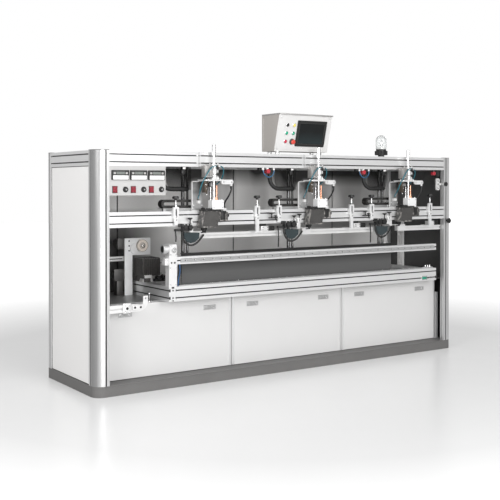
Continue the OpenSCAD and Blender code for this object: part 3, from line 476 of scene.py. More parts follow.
PAINTS = {
    "drive_plate": recipe(rgb(0.90), 0.36, metal=0.1, vary=0.05, scale=20.0),
    "valve_grey": recipe(rgb(0.30, 0.03), 0.4, metal=0.3, vary=0.15, scale=60.0),
    "valve_brown": recipe((0.075, 0.06, 0.045, 1), 0.4, metal=0.3, vary=0.3, scale=90.0),
    "valve_red": recipe((0.40, 0.02, 0.035, 1), 0.3, vary=0.2, coat=0.3),
    "blue_cable": recipe((0.02, 0.13, 0.36, 1), 0.35, vary=0.15, coat=0.3),
    # Painted shade: the back studs stand in shade and are made near black.
    "stud_grey": recipe(rgb(0.03), 0.6),
    "copper": recipe((0.72, 0.36, 0.24, 1), 0.25, metal=0.9),
    "heater_paint": recipe(rgb(0.47, 0.01), 0.42, vary=0.03, scale=6.0),
    "light_satin": recipe(rgb(0.72, 0.005), 0.34, metal=0.35, vary=0.06, scale=30.0),
    "moulded_white": recipe(rgb(0.78, 0.01), 0.5, vary=0.04, scale=30.0),
    "cap_plastic": recipe(rgb(0.07, 0.01), 0.55),
    "black_plastic": recipe(rgb(0.007, 0.01), 0.46, vary=0.2),
    "teal_sheet": recipe((0.022, 0.034, 0.038, 1), 0.2, vary=0.3, scale=20.0, coat=0.3),
    "black_rubber": recipe(rgb(0.016), 0.6, vary=0.2),
    "chain_plastic": recipe(rgb(0.020, 0.05), 0.42, vary=0.25, scale=90.0),
    "dark_cast": recipe(rgb(0.055, 0.04), 0.45, metal=0.3, vary=0.2, scale=60.0),
    "grey_cast": recipe(rgb(0.38, 0.02), 0.42, metal=0.5, vary=0.1, scale=60.0),
    "dark_metal": recipe(rgb(0.10, 0.03), 0.35, metal=0.7, vary=0.15, scale=60.0),
    "seam": recipe(rgb(0.10), 0.6),
    "latch_metal": recipe(rgb(0.44), 0.35, metal=0.5, vary=0.35, scale=90.0),
    "air_teal": recipe((0.012, 0.13, 0.17, 1), 0.28, vary=0.15, coat=0.3),
    "air_blue": recipe((0.03, 0.12, 0.24, 1), 0.28, vary=0.15, coat=0.3),
    "cap_black": recipe(rgb(0.012), 0.25, coat=0.4),
    "cap_yellow": recipe((0.78, 0.66, 0.16, 1), 0.25, coat=0.4),
    "cap_green": recipe((0.01, 0.32, 0.18, 1), 0.25, coat=0.4),
    "cap_red": recipe((0.52, 0.03, 0.06, 1), 0.25, coat=0.4),
    "stop_red": recipe((0.62, 0.05, 0.03, 1), 0.3, coat=0.4),
    "sensor_green": recipe((0.01, 0.22, 0.14, 1), 0.35, coat=0.3),
}

METALS = {
    "ground_steel": recipe(0.66, 0.3, 0, metal=1.0, vary=0.1),
    "deck": recipe(0.40, 0.4, 1, metal=0.7, vary=0.12),
    "plate_steel": recipe(0.70, 0.4, 2, metal=0.75, vary=0.08),
    "chrome": recipe(0.80, 0.14, 2, metal=1.0, vary=0.03),
    # Painted shade: the stand rods stand in shade behind the beam and are made dark metal.
    "rod_dark": recipe(0.12, 0.25, 2, metal=0.85, vary=0.2),
}

MAKERS = {
    "profile_z": lambda: drawn_metal("profile_z", finishes().profile, 0.36, 2, metal=0.6),
    "posts": post_finish,
    "top_rails": lambda: profile_finish("long_rails", 0, [(1, -1, 0.06)]),
    "side_rails": lambda: profile_finish("side_rails", 1, [(0, -1, 0.06)]),
    "beam": lambda: profile_finish("middle_beam", 0, [(1, -1, 0.06), (2, 1, 0.08), (2, -1, 0.08)]),
    "low_rail": lambda: profile_finish("lower_rail", 0, [(1, -1, 0.06), (2, 1, 0.06)]),
    "high_rail": lambda: profile_finish("upper_rail", 0, [(1, -1, 0.06), (2, 1, 0.06)]),
    "cross_beam": lambda: profile_finish("cross_beams", 1, [(0, -1, 0.06), (2, 1, 0.073)]),
    "back_post": lambda: profile_finish("back_posts", 2, [(0, -1, 0.06)]),
    "console_shell": console_finish,
    "motor_paint": motor_finish,
    "wheel_turned": wheel_finish,
    "side_sheet": side_sheet_finish,
    "door_paint": lambda: coloured("door_paint", rgb(finishes().door, 0.005), 0.45, vary=0.02, scale=3.0),
    "console_paint": lambda: coloured("console_paint", rgb(finishes().console, 0.01), 0.42, vary=0.03,
                                      scale=6.0),
    "plinth_paint": lambda: coloured("plinth_paint", rgb(finishes().plinth, 0.02), 0.5, vary=0.08,
                                     scale=5.0),
    "rocker_red": rocker_finish,
    "controller_window": window_finish,
    "display_glass": display_finish,
    "dome_clear": dome_finish,
    "smoked_sheet": smoked_finish,
    "back_sheet": back_sheet_finish,
    "apron_sheet": apron_finish,
    "squeegee_paint": squeegee_finish,
    "clamp_paint": clamp_finish,
    "bracket_sheet": bracket_finish,
}

SHARP = math.radians(35)
MADE = {}


def material(name):
    """The material of that name, made when it is first asked for."""
    if name not in MADE:
        if name in MAKERS:
            finish = MAKERS[name]()
        else:
            make, table = (coloured, PAINTS) if name in PAINTS else (drawn_metal, METALS)
            values, more = table[name]
            finish = make(name, *values, **more)
        MADE[name] = finish.material
    return MADE[name]


NODE_FINISH = {
    "plinth_paint": ["base_plinth"],
    "cap_plastic": ["post_caps"],
    "top_rails": ["long_rails"],
    "beam": ["middle_beam"],
    "low_rail": ["lower_rail"],
    "high_rail": ["upper_rail"],
    "side_rails": ["side_rails"],
    "cross_beam": ["cross_beams"],
    "posts": ["front_posts"],
    "back_post": ["back_posts"],
    "profile_z": ["cabinet_uprights", "door_trims"],
    "stud_grey": ["back_studs"],
    "side_sheet": ["side_panels"],
    "back_sheet": ["back_panels"],
    "door_paint": ["door_left", "door_middle", "door_right"],
    "console_shell": ["console_housing"],
    "console_paint": ["roof_panel"],
    "heater_paint": ["heater_panel"],
    "deck": ["cabinet_deck"],
    "apron_sheet": ["apron_panel"],
    "latch_metal": ["door_latches"],
    "ground_steel": ["guide_strips", "chain_trays", "console_feet"],
    "plate_steel": ["air_cylinders", "loading_chuck"],
    "drive_plate": ["feed_plate"],
    "air_teal": ["air_tubes"],
    "rod_dark": ["stand_rods"],
    "chrome": ["lift_rod_1", "lift_rod_2", "lift_rod_3"],
    "black_plastic": ["touch_screen", "heater_controllers", "heater_knobs", "beacon_base"],
    "chain_plastic": ["drag_chains"],
    "cap_black": ["push_buttons"],
    "stop_red": ["emergency_stop"],
    "rocker_red": ["heater_switches"],
    "dome_clear": ["beacon_dome"],
    "smoked_sheet": ["smoked_guards"],
    "bracket_sheet": ["head_brackets"],
    "light_satin": ["end_bracket", "side_stub", "screen_bar_1", "screen_bar_2", "screen_bar_3"],
    "clamp_paint": ["screen_clamps_1", "screen_clamps_2", "screen_clamps_3"],
    "moulded_white": ["wiring_duct"],
    "motor_paint": ["feed_motor"],
    "wheel_turned": ["feed_wheel"],
    "squeegee_paint": ["squeegee_1", "squeegee_2", "squeegee_3"],
}


def ring_points(radius, count):
    turn = 2 * math.pi / count
    return [(radius * math.cos(i * turn), radius * math.sin(i * turn)) for i in range(count)]


def round_corners(width, height, radius, count=5):
    """Outline of a rectangle with round corners, from its lowest corner."""
    points = []
    centres = ((width - radius, radius), (width - radius, height - radius), (radius, height - radius),
               (radius, radius))
    for quarter, (u, v) in enumerate(centres):
        for i in range(count + 1):
            angle = math.radians(-90 + 90 * quarter + 90 * i / count)
            points.append((u + radius * math.cos(angle), v + radius * math.sin(angle)))
    return points


def lobes(radius, count, depth, steps=6):
    """Outline of a hand knob with round lobes."""
    total = count * steps
    outline = []
    for i in range(total):
        angle = 2 * math.pi * i / total
        reach = radius - depth * (0.5 - 0.5 * math.cos(count * angle))
        outline.append((reach * math.cos(angle), reach * math.sin(angle)))
    return outline


def smooth_path(points, steps=5):
    """A curve through the points, with rounded turns."""
    points = [Vector(point) for point in points]
    ends = [2 * points[0] - points[1]] + points + [2 * points[-1] - points[-2]]
    path = []
    for a, b, c, d in zip(ends, ends[1:], ends[2:], ends[3:]):
        for i in range(steps):
            t = i / steps
            path.append(0.5 * (2 * b + (c - a) * t + (2 * a - 5 * b + 4 * c - d) * t**2
                               + (3 * b - a - 3 * c + d) * t**3))
    return path + [points[-1]]


class Form:
    """A piece in the making: parts in millimetres, from a place on the machine."""

    def __init__(self, at=(0, 0, 0), turn=None):
        self.mesh = bmesh.new()
        self.place = Matrix.Translation(Vector(at)) @ (turn or Matrix())

    def skin(self, loops):
        for a, b in zip(loops, loops[1:]):
            for i in range(len(a)):
                k = (i + 1) % len(a)
                self.mesh.faces.new((a[i], a[k], b[k], b[i]))
        self.mesh.faces.new(loops[0][::-1])
        self.mesh.faces.new(loops[-1])

    def box(self, low, high, edge=0.0):
        made = bmesh.ops.create_cube(self.mesh, size=1)["verts"]
        for corner in made:
            corner.co = Vector([(l + h) / 2 + c * (h - l) for l, h, c in zip(low, high, corner.co)])
        if edge:
            edges = list({link for corner in made for link in corner.link_edges})
            bmesh.ops.bevel(self.mesh, geom=edges, offset=edge, segments=2, profile=0.5, affect="EDGES")

    def turned(self, at, axis, rings, count=24):
        """A turned part: rings of distance along the axis and radius."""
        along = Vector(axis).normalized()
        side = along.orthogonal().normalized()
        across = along.cross(side)
        loops = []
        for distance, radius in rings:
            centre = Vector(at) + along * distance
            ring = ring_points(max(radius, 0.01), count)
            loops.append([self.mesh.verts.new(centre + side * u + across * v) for u, v in ring])
        self.skin(loops)

    def slab(self, outline, axis, start, end, edge=0.0):
        """An outline in the plane across that axis, made thick from start to end."""
        spots = {"x": lambda u, v, w: (w, u, v), "y": lambda u, v, w: (u, w, v), "z": lambda u, v,
                 w: (u, v, w)}
        loops = []
        levels = [(start, 1.0), (end, 1.0)]
        centre = [sum(part) / len(outline) for part in zip(*outline)]
        span = max(max(abs(p[0] - centre[0]), abs(p[1] - centre[1])) for p in outline)
        if edge:
            toward = edge if end > start else -edge
            small = 1 - edge / span
            levels = [(start, small), (start + toward, 1.0), (end - toward, 1.0), (end, small)]
        for level, share in levels:
            loops.append([self.mesh.verts.new(spots[axis](centre[0] + (u - centre[0]) * share,
                                                          centre[1] + (v - centre[1]) * share, level))
                          for u, v in outline])
        self.skin(loops)

    def tube(self, points, radius, count=10, steps=5):
        path = smooth_path(points, steps) if steps > 1 else [Vector(point) for point in points]
        side = (path[1] - path[0]).orthogonal().normalized()
        loops = []
        for i, point in enumerate(path):
            along = (path[min(i + 1, len(path) - 1)] - path[max(i - 1, 0)]).normalized()
            side = (side - along * side.dot(along)).normalized()
            across = along.cross(side)
            loops.append([self.mesh.verts.new(point + side * u + across * v) for u,
                          v in ring_points(radius, count)])
        self.skin(loops)

    def bolt(self, at, axis, size):
        """A socket head screw: a round head with a six-sided socket."""
        head, socket = size * 0.75, size * 0.42
        rings = [(-0.2, head), (size * 0.8, head), (size, head * 0.88), (size, socket),
                 (size * 0.45, socket)]
        self.turned(at, axis, rings + [(size * 0.45, 0.2)], 12)

    def knob(self, at, axis, radius, height, count=6):
        """A lobed hand knob, along X, Y or Z in either sense."""
        letter = "xyz"[max(range(3), key=lambda i: abs(axis[i]))]
        sense = 1 if sum(axis) > 0 else -1
        keep = Form()
        keep.slab(lobes(radius, count, radius * 0.16), letter, 0, sense * height, radius * 0.12)
        keep.turned((0, 0, 0), axis, [(height * 0.9, radius * 0.5), (height * 1.12, radius * 0.46),
                                      (height * 1.18, radius * 0.3)], 16)
        self.join(keep, at)

    def join(self, other, at=(0, 0, 0)):
        moved = {}
        for corner in other.mesh.verts:
            moved[corner] = self.mesh.verts.new(corner.co + Vector(at))
        for face in other.mesh.faces:
            self.mesh.faces.new([moved[corner] for corner in face.verts])
        other.mesh.free()

    def done(self, name, finish, body="frame", slot=None, stands_for=()):
        """Makes the object, gives it a finish, and puts it on its body; the slot argument is not used."""
        bmesh.ops.transform(self.mesh, matrix=Matrix.Scale(MM, 4) @ self.place, verts=self.mesh.verts[:])
        bmesh.ops.recalc_face_normals(self.mesh, faces=self.mesh.faces[:])
        data = bpy.data.meshes.new(name)
        self.mesh.to_mesh(data)
        self.mesh.free()
        data.shade_smooth()
        data.set_sharp_from_angle(angle=SHARP)
        made = bpy.data.objects.new(name, data)
        bpy.context.scene.collection.objects.link(made)
        data.materials.append(material(finish))
        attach(made, body)
        if stands_for:
            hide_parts(*stands_for)


class FinishSettings(bpy.types.PropertyGroup):
    profile: FloatProperty(name="Profile", description="Lightness of the anodised profiles", default=0.76)
    sheet: FloatProperty(name="Side sheet", description="Lightness of the side sheets", default=0.8)
    door: FloatProperty(name="Doors", description="Lightness of the doors", default=0.61)
    console: FloatProperty(name="Console", description="Lightness of the console", default=0.62)
    plinth: FloatProperty(name="Plinth", description="Lightness of the plinth", default=0.13)


class StageSettings(bpy.types.PropertyGroup):
    eye: FloatVectorProperty(name="Eye", description="Place of the camera", default=(-4.805, -6.761, 1.627),
                             subtype="TRANSLATION")
    sight: FloatVectorProperty(name="Sight", description="Direction of the camera",
                               default=(0.5633, 0.8262, -0.0103), subtype="DIRECTION")
    lens: FloatProperty(name="Lens", description="Focal length in millimetres", default=64.59)
    shift: FloatProperty(name="Shift", description="Upright shift of the lens", default=-0.1105)
    sky: FloatProperty(name="Sky", description="Strength of the soft light all round", default=0.54)
    key: FloatProperty(name="Key", description="Power of the lamp at the left", default=290.0,
                       subtype="POWER")
    fill: FloatProperty(name="Fill", description="Power of the lamp high in front", default=290.0,
                        subtype="POWER")
    low: FloatProperty(name="Low", description="Power of the low lamp in front of the opening",
                       default=260.0,
                       subtype="POWER")


class MACHINE_OT_stage(bpy.types.Operator):
    """Camera, floor, soft lamps and sky"""

    bl_idname = "machine.stage"
    bl_label = "Stage"

    def execute(self, context):
        stage = context.scene.machine_stage
        camera = bpy.data.objects.new("camera", bpy.data.cameras.new("camera"))
        context.scene.collection.objects.link(camera)
        camera.location = stage.eye
        camera.rotation_euler = Vector(stage.sight).to_track_quat("-Z", "Y").to_euler()
        camera.data.sensor_width = 36
        camera.data.lens = stage.lens
        camera.data.shift_y = stage.shift
        camera.data.clip_end = 200
        context.scene.camera = camera
        context.scene.view_settings.view_transform = "Standard"
        self.sky(context, stage)
        self.floor(context)
        self.lamp(context, "key_lamp", (-8.0, -3.4, 3.6), 4.0, stage.key)
        self.lamp(context, "fill_lamp", (-0.4, -8.6, 3.6), 4.0, stage.fill)
        self.lamp(context, "low_lamp", (-2.0, -8.3, 1.35), 4.0, stage.low)
        return {"FINISHED"}

    def sky(self, context, stage):
        world = bpy.data.worlds.new("sky")
        context.scene.world = world
        world.use_nodes = True
        tree = world.node_tree
        rays = tree.nodes.new("ShaderNodeLightPath")
        seen = tree.nodes.new("ShaderNodeMath")
        seen.operation = "MAXIMUM"
        tree.links.new(rays.outputs["Is Camera Ray"], seen.inputs[0])
        tree.links.new(rays.outputs["Is Transmission Ray"], seen.inputs[1])
        plain, white, blend = (tree.nodes.new(kind) for kind in
                               ("ShaderNodeBackground", "ShaderNodeBackground", "ShaderNodeMixShader"))
        plain.inputs["Color"].default_value = (1, 1, 1, 1)
        plain.inputs["Strength"].default_value = stage.sky
        white.inputs["Color"].default_value = (1, 1, 1, 1)
        tree.links.new(seen.outputs[0], blend.inputs[0])
        tree.links.new(plain.outputs[0], blend.inputs[1])
        tree.links.new(white.outputs[0], blend.inputs[2])
        tree.links.new(blend.outputs[0], tree.nodes["World Output"].inputs["Surface"])

    def floor(self, context):
        finish = Finish("floor")
        rays = finish.node("ShaderNodeLightPath", out="Is Camera Ray")
        cloud = finish.grain(3.0)
        x, y, _ = finish.place()
        reach = x * x + y * y
        # Painted shade: the floor is darker within a few metres of the machine, and its glow for camera rays
        # is weaker there.
        near = 1 - reach.math("SQRT", reach).past(5.0, 4.0)
        base = finish.mix(finish.mix(rgb(0.84), rgb(0.86), cloud), rgb(0.66), near)
        finish.set(base_color=base, roughness=cloud * 0.06 + 0.22)
        glow = finish.mix(rgb(0.0), finish.mix(rgb(0.72), rgb(0.19), near), rays)
        finish.set(emission_color=glow, emission_strength=1.0)
        half = 30.0
        data = bpy.data.meshes.new("floor")
        data.from_pydata([(-half, -half, 0), (half, -half, 0), (half, half, 0), (-half, half, 0)], [],
                         [(0, 1, 2, 3)])
        made = bpy.data.objects.new("floor", data)
        data.materials.append(finish.material)
        context.scene.collection.objects.link(made)

    def lamp(self, context, name, place, size, power):
        lamp = bpy.data.lights.new(name, "AREA")
        lamp.shape = "DISK"
        lamp.size = size
        lamp.energy = power
        made = bpy.data.objects.new(name, lamp)
        made.location = place
        made.rotation_euler = (Vector((0, 0, 1.0)) - Vector(place)).to_track_quat("-Z", "Y").to_euler()
        context.scene.collection.objects.link(made)


class MACHINE_OT_finishes(bpy.types.Operator):
    """Finishes of the carried-over pieces"""

    bl_idname = "machine.finishes"
    bl_label = "Finishes"

    def execute(self, context):
        for finish, names in NODE_FINISH.items():
            for name in names:
                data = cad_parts[name].data
                data.materials.clear()
                data.materials.append(material(finish))
        return {"FINISHED"}


class MACHINE_OT_frame_parts(bpy.types.Operator):
    """Rail joints, back screws and side beads of the frame"""

    bl_idname = "machine.frame_parts"
    bl_label = "Frame parts"

    joint_x = (-1020.0, 63.0)

    def execute(self, context):
        seams = Form()
        for x in self.joint_x:
            seams.box((x - 1.5, FRONT_Y - 0.4, RAIL_Z), (x + 1.5, FRONT_Y + 2, TOP_Z), 0.3)
            seams.box((x - 1.5, FRONT_Y, TOP_Z - 1), (x + 1.5, FRONT_Y + 60, TOP_Z + 0.4), 0.3)
        seams.done("rail_seams", "seam")
        links = Form()
        for x in self.joint_x:
            for z in (RAIL_Z + 30, TOP_Z - 30):
                links.box((x - 22, FRONT_Y + 1, z - 4.5), (x + 22, FRONT_Y + 4.5, z + 4.5), 0.8)
                for side in (-14, 14):
                    links.turned((x + side, FRONT_Y + 1.4, z), FORWARD,
                                 [(-0.5, 3.4), (0.5, 3.4), (0.6, 1.8),
                                                                            (-0.8, 1.8), (-0.8, 0.1)], 12)
        links.done("rail_joint_pieces", "ground_steel")
        self.back_screws()
        self.side_beads()
        return {"FINISHED"}

    def back_screws(self):
        screws = Form()
        low, high = corners("back_panels")
        seam_x = [-1315, -91, 1131]
        columns = [low.x + 22, high.x - 22] + [x + side * 24 for x in seam_x for side in (-1, 1)]
        rows = 7
        for x in columns:
            for i in range(rows):
                z = low.z + 40 + i * (high.z - low.z - 80) / (rows - 1)
                screws.turned((x, BACK_Y, z), BACKWARD, [(-0.3, 6), (1.6, 5.8), (2.8, 4), (3.0, 2.4),
                                                           (1.4, 2.2), (1.4, 0.2)], 12)
        screws.done("back_screws", "ground_steel")

    def side_beads(self):
        """Dark rubber beads between the side sheets and the profiles."""
        beads = Form()
        low, high = corners("side_panels")
        for x, inward in ((low.x, 1), (high.x, -1)):
            for z0, z1, y0, y1 in ((low.z, low.z + 5, low.y, high.y), (high.z - 5, high.z, low.y, high.y),
                                   (low.z, high.z, low.y, low.y + 5), (low.z, high.z, high.y - 5, high.y)):
                beads.box((x - inward * 1.5, y0, z0), (x + inward * 3, y1, z1), 0.5)
        beads.done("side_beads", "black_rubber", slot="cap_grey")


class MACHINE_OT_doors(bpy.types.Operator):
    """Paddles and locks of the flush door latches"""

    bl_idname = "machine.doors"
    bl_label = "Doors"

    def execute(self, context):
        paddles, locks = Form(), Form()
        latch_w, latch_h, inset = 120, 40, 155
        z = corners("door_latches")[0].z + 2
        for name in ("door_left", "door_middle", "door_right"):
            low, high = corners(name)
            for x in (low.x + inset, high.x - inset - latch_w):
                paddles.box((x + 8, DOOR_Y - 1.6, z + 6),
                            (x + latch_w * 0.55, DOOR_Y + 0.4, z + latch_h - 9), 0.8)
                for k in range(3):
                    paddles.box((x + 14 + k * 6, DOOR_Y - 2.6, z + 10),
                                (x + 17 + k * 6, DOOR_Y - 1.2, z + latch_h - 13), 0.5)
                centre = (x + latch_w * 0.78, DOOR_Y + 0.4, z + latch_h / 2 - 2)
                locks.turned(centre, FORWARD,
                             [(0, 7.6), (2.0, 7.6), (2.8, 6.6), (2.8, 4.2), (2.2, 4.0), (2.2, 0.1)])
                locks.box((centre[0] - 0.8, DOOR_Y - 2.6, centre[2] - 3.6),
                          (centre[0] + 0.8, DOOR_Y - 1.6, centre[2] + 3.6), 0.2)
        paddles.done("latch_paddles", "latch_metal")
        locks.done("latch_locks", "chrome")
        return {"FINISHED"}


class MACHINE_OT_console(bpy.types.Operator):
    """Face plate, push buttons, stop button and display of the console"""

    bl_idname = "machine.console"
    bl_label = "Console"

    def execute(self, context):
        low, high = corners("console_housing")
        foot_y = high.y - 183
        turn = Matrix.Rotation(CONSOLE_LEAN, 4, "X")
        at = (low.x, foot_y, low.z)
        wide, tall = high.x - low.x, 330 / math.cos(CONSOLE_LEAN)
        self.face_plate(at, turn, wide, tall)
        self.buttons(at, turn)
        self.stop(at, turn)
        self.display(at, turn)
        edge = Form((low.x, 0, 0))
        edge.box((-1, low.y - 1, high.z - 13), (wide + 1, high.y, high.z - 0.2), 1.0)
        edge.done("console_lid", "grey_cast", slot="panel_white")
        return {"FINISHED"}

    def face_plate(self, at, turn, wide, tall):
        plate = Form(at, turn)
        rim = 18
        outline = [(u + rim, v + rim) for u, v in round_corners(wide - 2 * rim, tall - 2 * rim - 8, 6)]
        plate.slab(outline, "y", -0.05, -2.0, 0.8)
        plate.done("console_face", "console_paint")
        screws = Form(at, turn)
        for u in (rim + 9, wide / 2, wide - rim - 9):
            for v in (rim + 9, tall - rim - 17):
                screws.turned((u, -2, v), FORWARD,
                              [(-0.3, 4.4), (1.0, 4.2), (1.9, 3.0), (2.0, 1.9), (1.0, 1.8),
                                                       (1.0, 0.1)], 12)
        screws.done("console_screws", "ground_steel")

    def buttons(self, at, turn):
        columns, rows = (103, 176), (91, 166, 238)
        caps = {"black": [(0, 2)], "yellow": [(1, 2)], "green": [(0, 1), (1, 1)], "red": [(0, 0)]}
        rings = Form(at, turn)
        for colour, places in caps.items():
            cap = Form(at, turn)
            for column, row in places:
                centre = (columns[column], -2, rows[row])
                cap.turned(centre, FORWARD,
                           [(0, 13.6), (8.5, 13.6), (10.4, 12.6), (11.6, 9.5), (12.0, 4), (12.1, 0.1)], 32)
                rings.turned(centre, FORWARD,
                             [(0, 19.0), (2.0, 18.8), (4.2, 17.2), (6.6, 16.8), (7.2, 15.6),
                                                  (6.0, 14.2), (1.0, 14.0)], 32)
            cap.done(f"button_caps_{colour}", f"cap_{colour}")
        rings.done("button_rings", "chrome", stands_for=("push_buttons",))

    def stop(self, at, turn):
        centre = (176, -2, 91)
        collar = Form(at, turn)
        collar.turned(centre, FORWARD,
                      [(0, 27), (1.5, 27), (3.0, 25.5), (5.0, 20), (9.0, 18), (14, 17), (15, 12)], 40)
        collar.done("stop_collar", "dark_cast", slot="black_plastic")
        head = Form(at, turn)
        head.turned(centre, FORWARD,
                    [(13, 12), (20, 12.5), (20.6, 19), (22, 21.4), (25, 21.8), (28, 20.6), (30.4, 17),
                                         (31.6, 11), (32.0, 5), (32.1, 0.1)], 40)
        for u, v in ring_points(13.5, 3):
            head.turned((centre[0] + u, centre[1], centre[2] + v), FORWARD,
                        [(29, 2.4), (32.2, 2.2), (32.8, 1.0)], 10)
        head.done("stop_head", "stop_red", stands_for=("emergency_stop",))

    def display(self, at, turn):
        u0, v0, wide, tall, bezel = 212, 50, 326, 233, 26
        glass = Form(at, turn)
        outline = [(u + u0 + bezel + 0.3, v + v0 + bezel + 0.3) for u, v in
                   round_corners(wide - 2 * bezel - 0.6, tall - 2 * bezel - 0.6, 3)]
        glass.slab(outline, "y", -7.6, -9.2, 0.5)
        glass.done("display_glass", "display_glass")
        line = Form(at, turn)
        inner = 22
        for low, high in (((u0 + inner, v0 + inner), (u0 + wide - inner, v0 + inner + 1.4)),
                          ((u0 + inner, v0 + tall - inner - 1.4), (u0 + wide - inner, v0 + tall - inner)),
                          ((u0 + inner, v0 + inner), (u0 + inner + 1.4, v0 + tall - inner)),
                          ((u0 + wide - inner - 1.4, v0 + inner), (u0 + wide - inner, v0 + tall - inner))):
            line.box((low[0], -10.8, low[1]), (high[0], -9.9, high[1]), 0.2)
        line.done("display_line", "dark_metal", slot="black_plastic")


class MACHINE_OT_heater(bpy.types.Operator):
    """Controllers, rockers and knobs of the heater panel"""

    bl_idname = "machine.heater"
    bl_label = "Heater panel"

    pitch = 158

    def execute(self, context):
        at = corners("heater_panel")[0]
        self.controllers(at)
        self.rockers(at)
        self.knobs(at)
        return {"FINISHED"}

    def controllers(self, at):
        windows, labels, marks = Form(at), Form(at), Form(at)
        for i in range(3):
            u, v = 18 + i * self.pitch, 120
            windows.slab([(a + u + 38, b + v + 43) for a, b in round_corners(72, 21, 2)], "y", -11.8, -13.2,
                         0.5)
            labels.slab([(a + u + 9, b + v + 3) for a, b in round_corners(131, 32, 2)], "y", -12, -14.6,
                        0.6)
            for k in range(4):
                marks.box((u + 24 + k * 28, -15.0, v + 11), (u + 33 + k * 28, -14.2, v + 15), 0.3)
            for side in (14, 116):
                marks.slab([(a + u + side, b + v + 45) for a, b in round_corners(18, 16, 2)], "y", -11.9,
                           -12.9, 0.4)
        windows.done("controller_windows", "controller_window")
        labels.done("controller_fields", "moulded_white")
        marks.done("controller_keys", "grey_cast")

    def rockers(self, at):
        rims, rockers = Form(at), Form(at)
        for i in range(3):
            u, v = 28 + i * self.pitch, 22
            for low, high in (((u - 3, v - 3), (u, v + 51)), ((u + 38, v - 3), (u + 41, v + 51)),
                              ((u - 3, v - 3), (u + 41, v)), ((u - 3, v + 48), (u + 41, v + 51))):
                rims.box((low[0], -4, low[1]), (high[0], 0.2, high[1]), 0.8)
            profile = [(-0.1, v), (-0.1, v + 48), (-8.4, v + 47.5), (-6.2, v + 36), (-5.4, v + 24.6),
                       (-6.6, v + 24),
                       (-7.4, v + 12), (-11.2, v + 0.5)]
            rockers.slab(profile, "x", u + 0.4, u + 37.6)
            rockers.box((u + 15, -8.8, v + 38), (u + 23, -7, v + 44), 0.6)
            rockers.turned((u + 19, -7.2, v + 11), FORWARD,
                           [(0, 4), (2.4, 4), (2.8, 3.2), (2.8, 2.4), (1.4, 2.2)], 16)
        rims.done("rocker_rims", "black_plastic")
        rockers.done("rockers", "rocker_red", stands_for=("heater_switches",))

    def knobs(self, at):
        skirts, dials, ticks = Form(at), Form(at), Form(at)
        for i in range(3):
            centre = (138 + i * self.pitch, 0, 46)
            skirts.turned(centre, FORWARD, [(0, 23), (2.4, 22.8), (3.4, 19), (6, 17.4), (16, 15.6),
                                            (18, 14.4), (18.6, 11)], 32)
            for a, b in ring_points(16.8, 20):
                u, v = centre[0] + a, centre[2] + b
                skirts.box((u - 0.9, -16, v - 0.9), (u + 0.9, -3, v + 0.9), 0.3)
            dials.turned(centre, FORWARD, [(17, 7), (19.4, 7), (20.2, 6), (20.4, 0.1)], 32)
            skirts.box((centre[0] - 1.2, -22, centre[2] + 1), (centre[0] + 1.2, -20, centre[2] + 10), 0.4)
            for k in range(11):
                angle = math.radians(225 - 27 * k)
                u, v = centre[0] + 28 * math.cos(angle), centre[2] + 28 * math.sin(angle)
                ticks.box((u - 0.7, -0.5, v - 0.7), (u + 0.7, 0.1, v + 0.7), 0.15)
        skirts.done("knob_skirts", "black_plastic", stands_for=("heater_knobs",))
        dials.done("knob_dials", "chrome")
        ticks.done("knob_ticks", "dark_metal", slot="black_plastic")


class MACHINE_OT_beacon(bpy.types.Operator):
    """Lamp inside the clear dome"""

    bl_idname = "machine.beacon"
    bl_label = "Signal lamp"

    def execute(self, context):
        centre = middle("beacon_dome")
        z = corners("beacon_dome")[0].z
        at = (centre.x, centre.y, z)
        core = Form(at)
        core.turned((0, 0, 0), UP, [(0, 46), (4, 46), (6, 40), (8, 22), (24, 20), (26, 16)], 32)
        for u, v in ring_points(32, 8):
            core.box((u - 1.5, v - 1.5, 4), (u + 1.5, v + 1.5, 34), 0.5)
        core.done("beacon_core", "moulded_white")
        bulb = Form(at)
        bulb.turned((0, 0, 24), UP, [(0, 12), (8, 15), (30, 18), (50, 16), (62, 9), (66, 0.1)], 24)
        bulb.done("beacon_bulb", "chrome")
        ribs = Form(at)
        for u, v in ring_points(57.5, 24):
            ribs.box((u - 2.2, v - 2.2, -55), (u + 2.2, v + 2.2, -18), 0.8)
        ribs.done("beacon_ribs", "black_plastic")
        return {"FINISHED"}


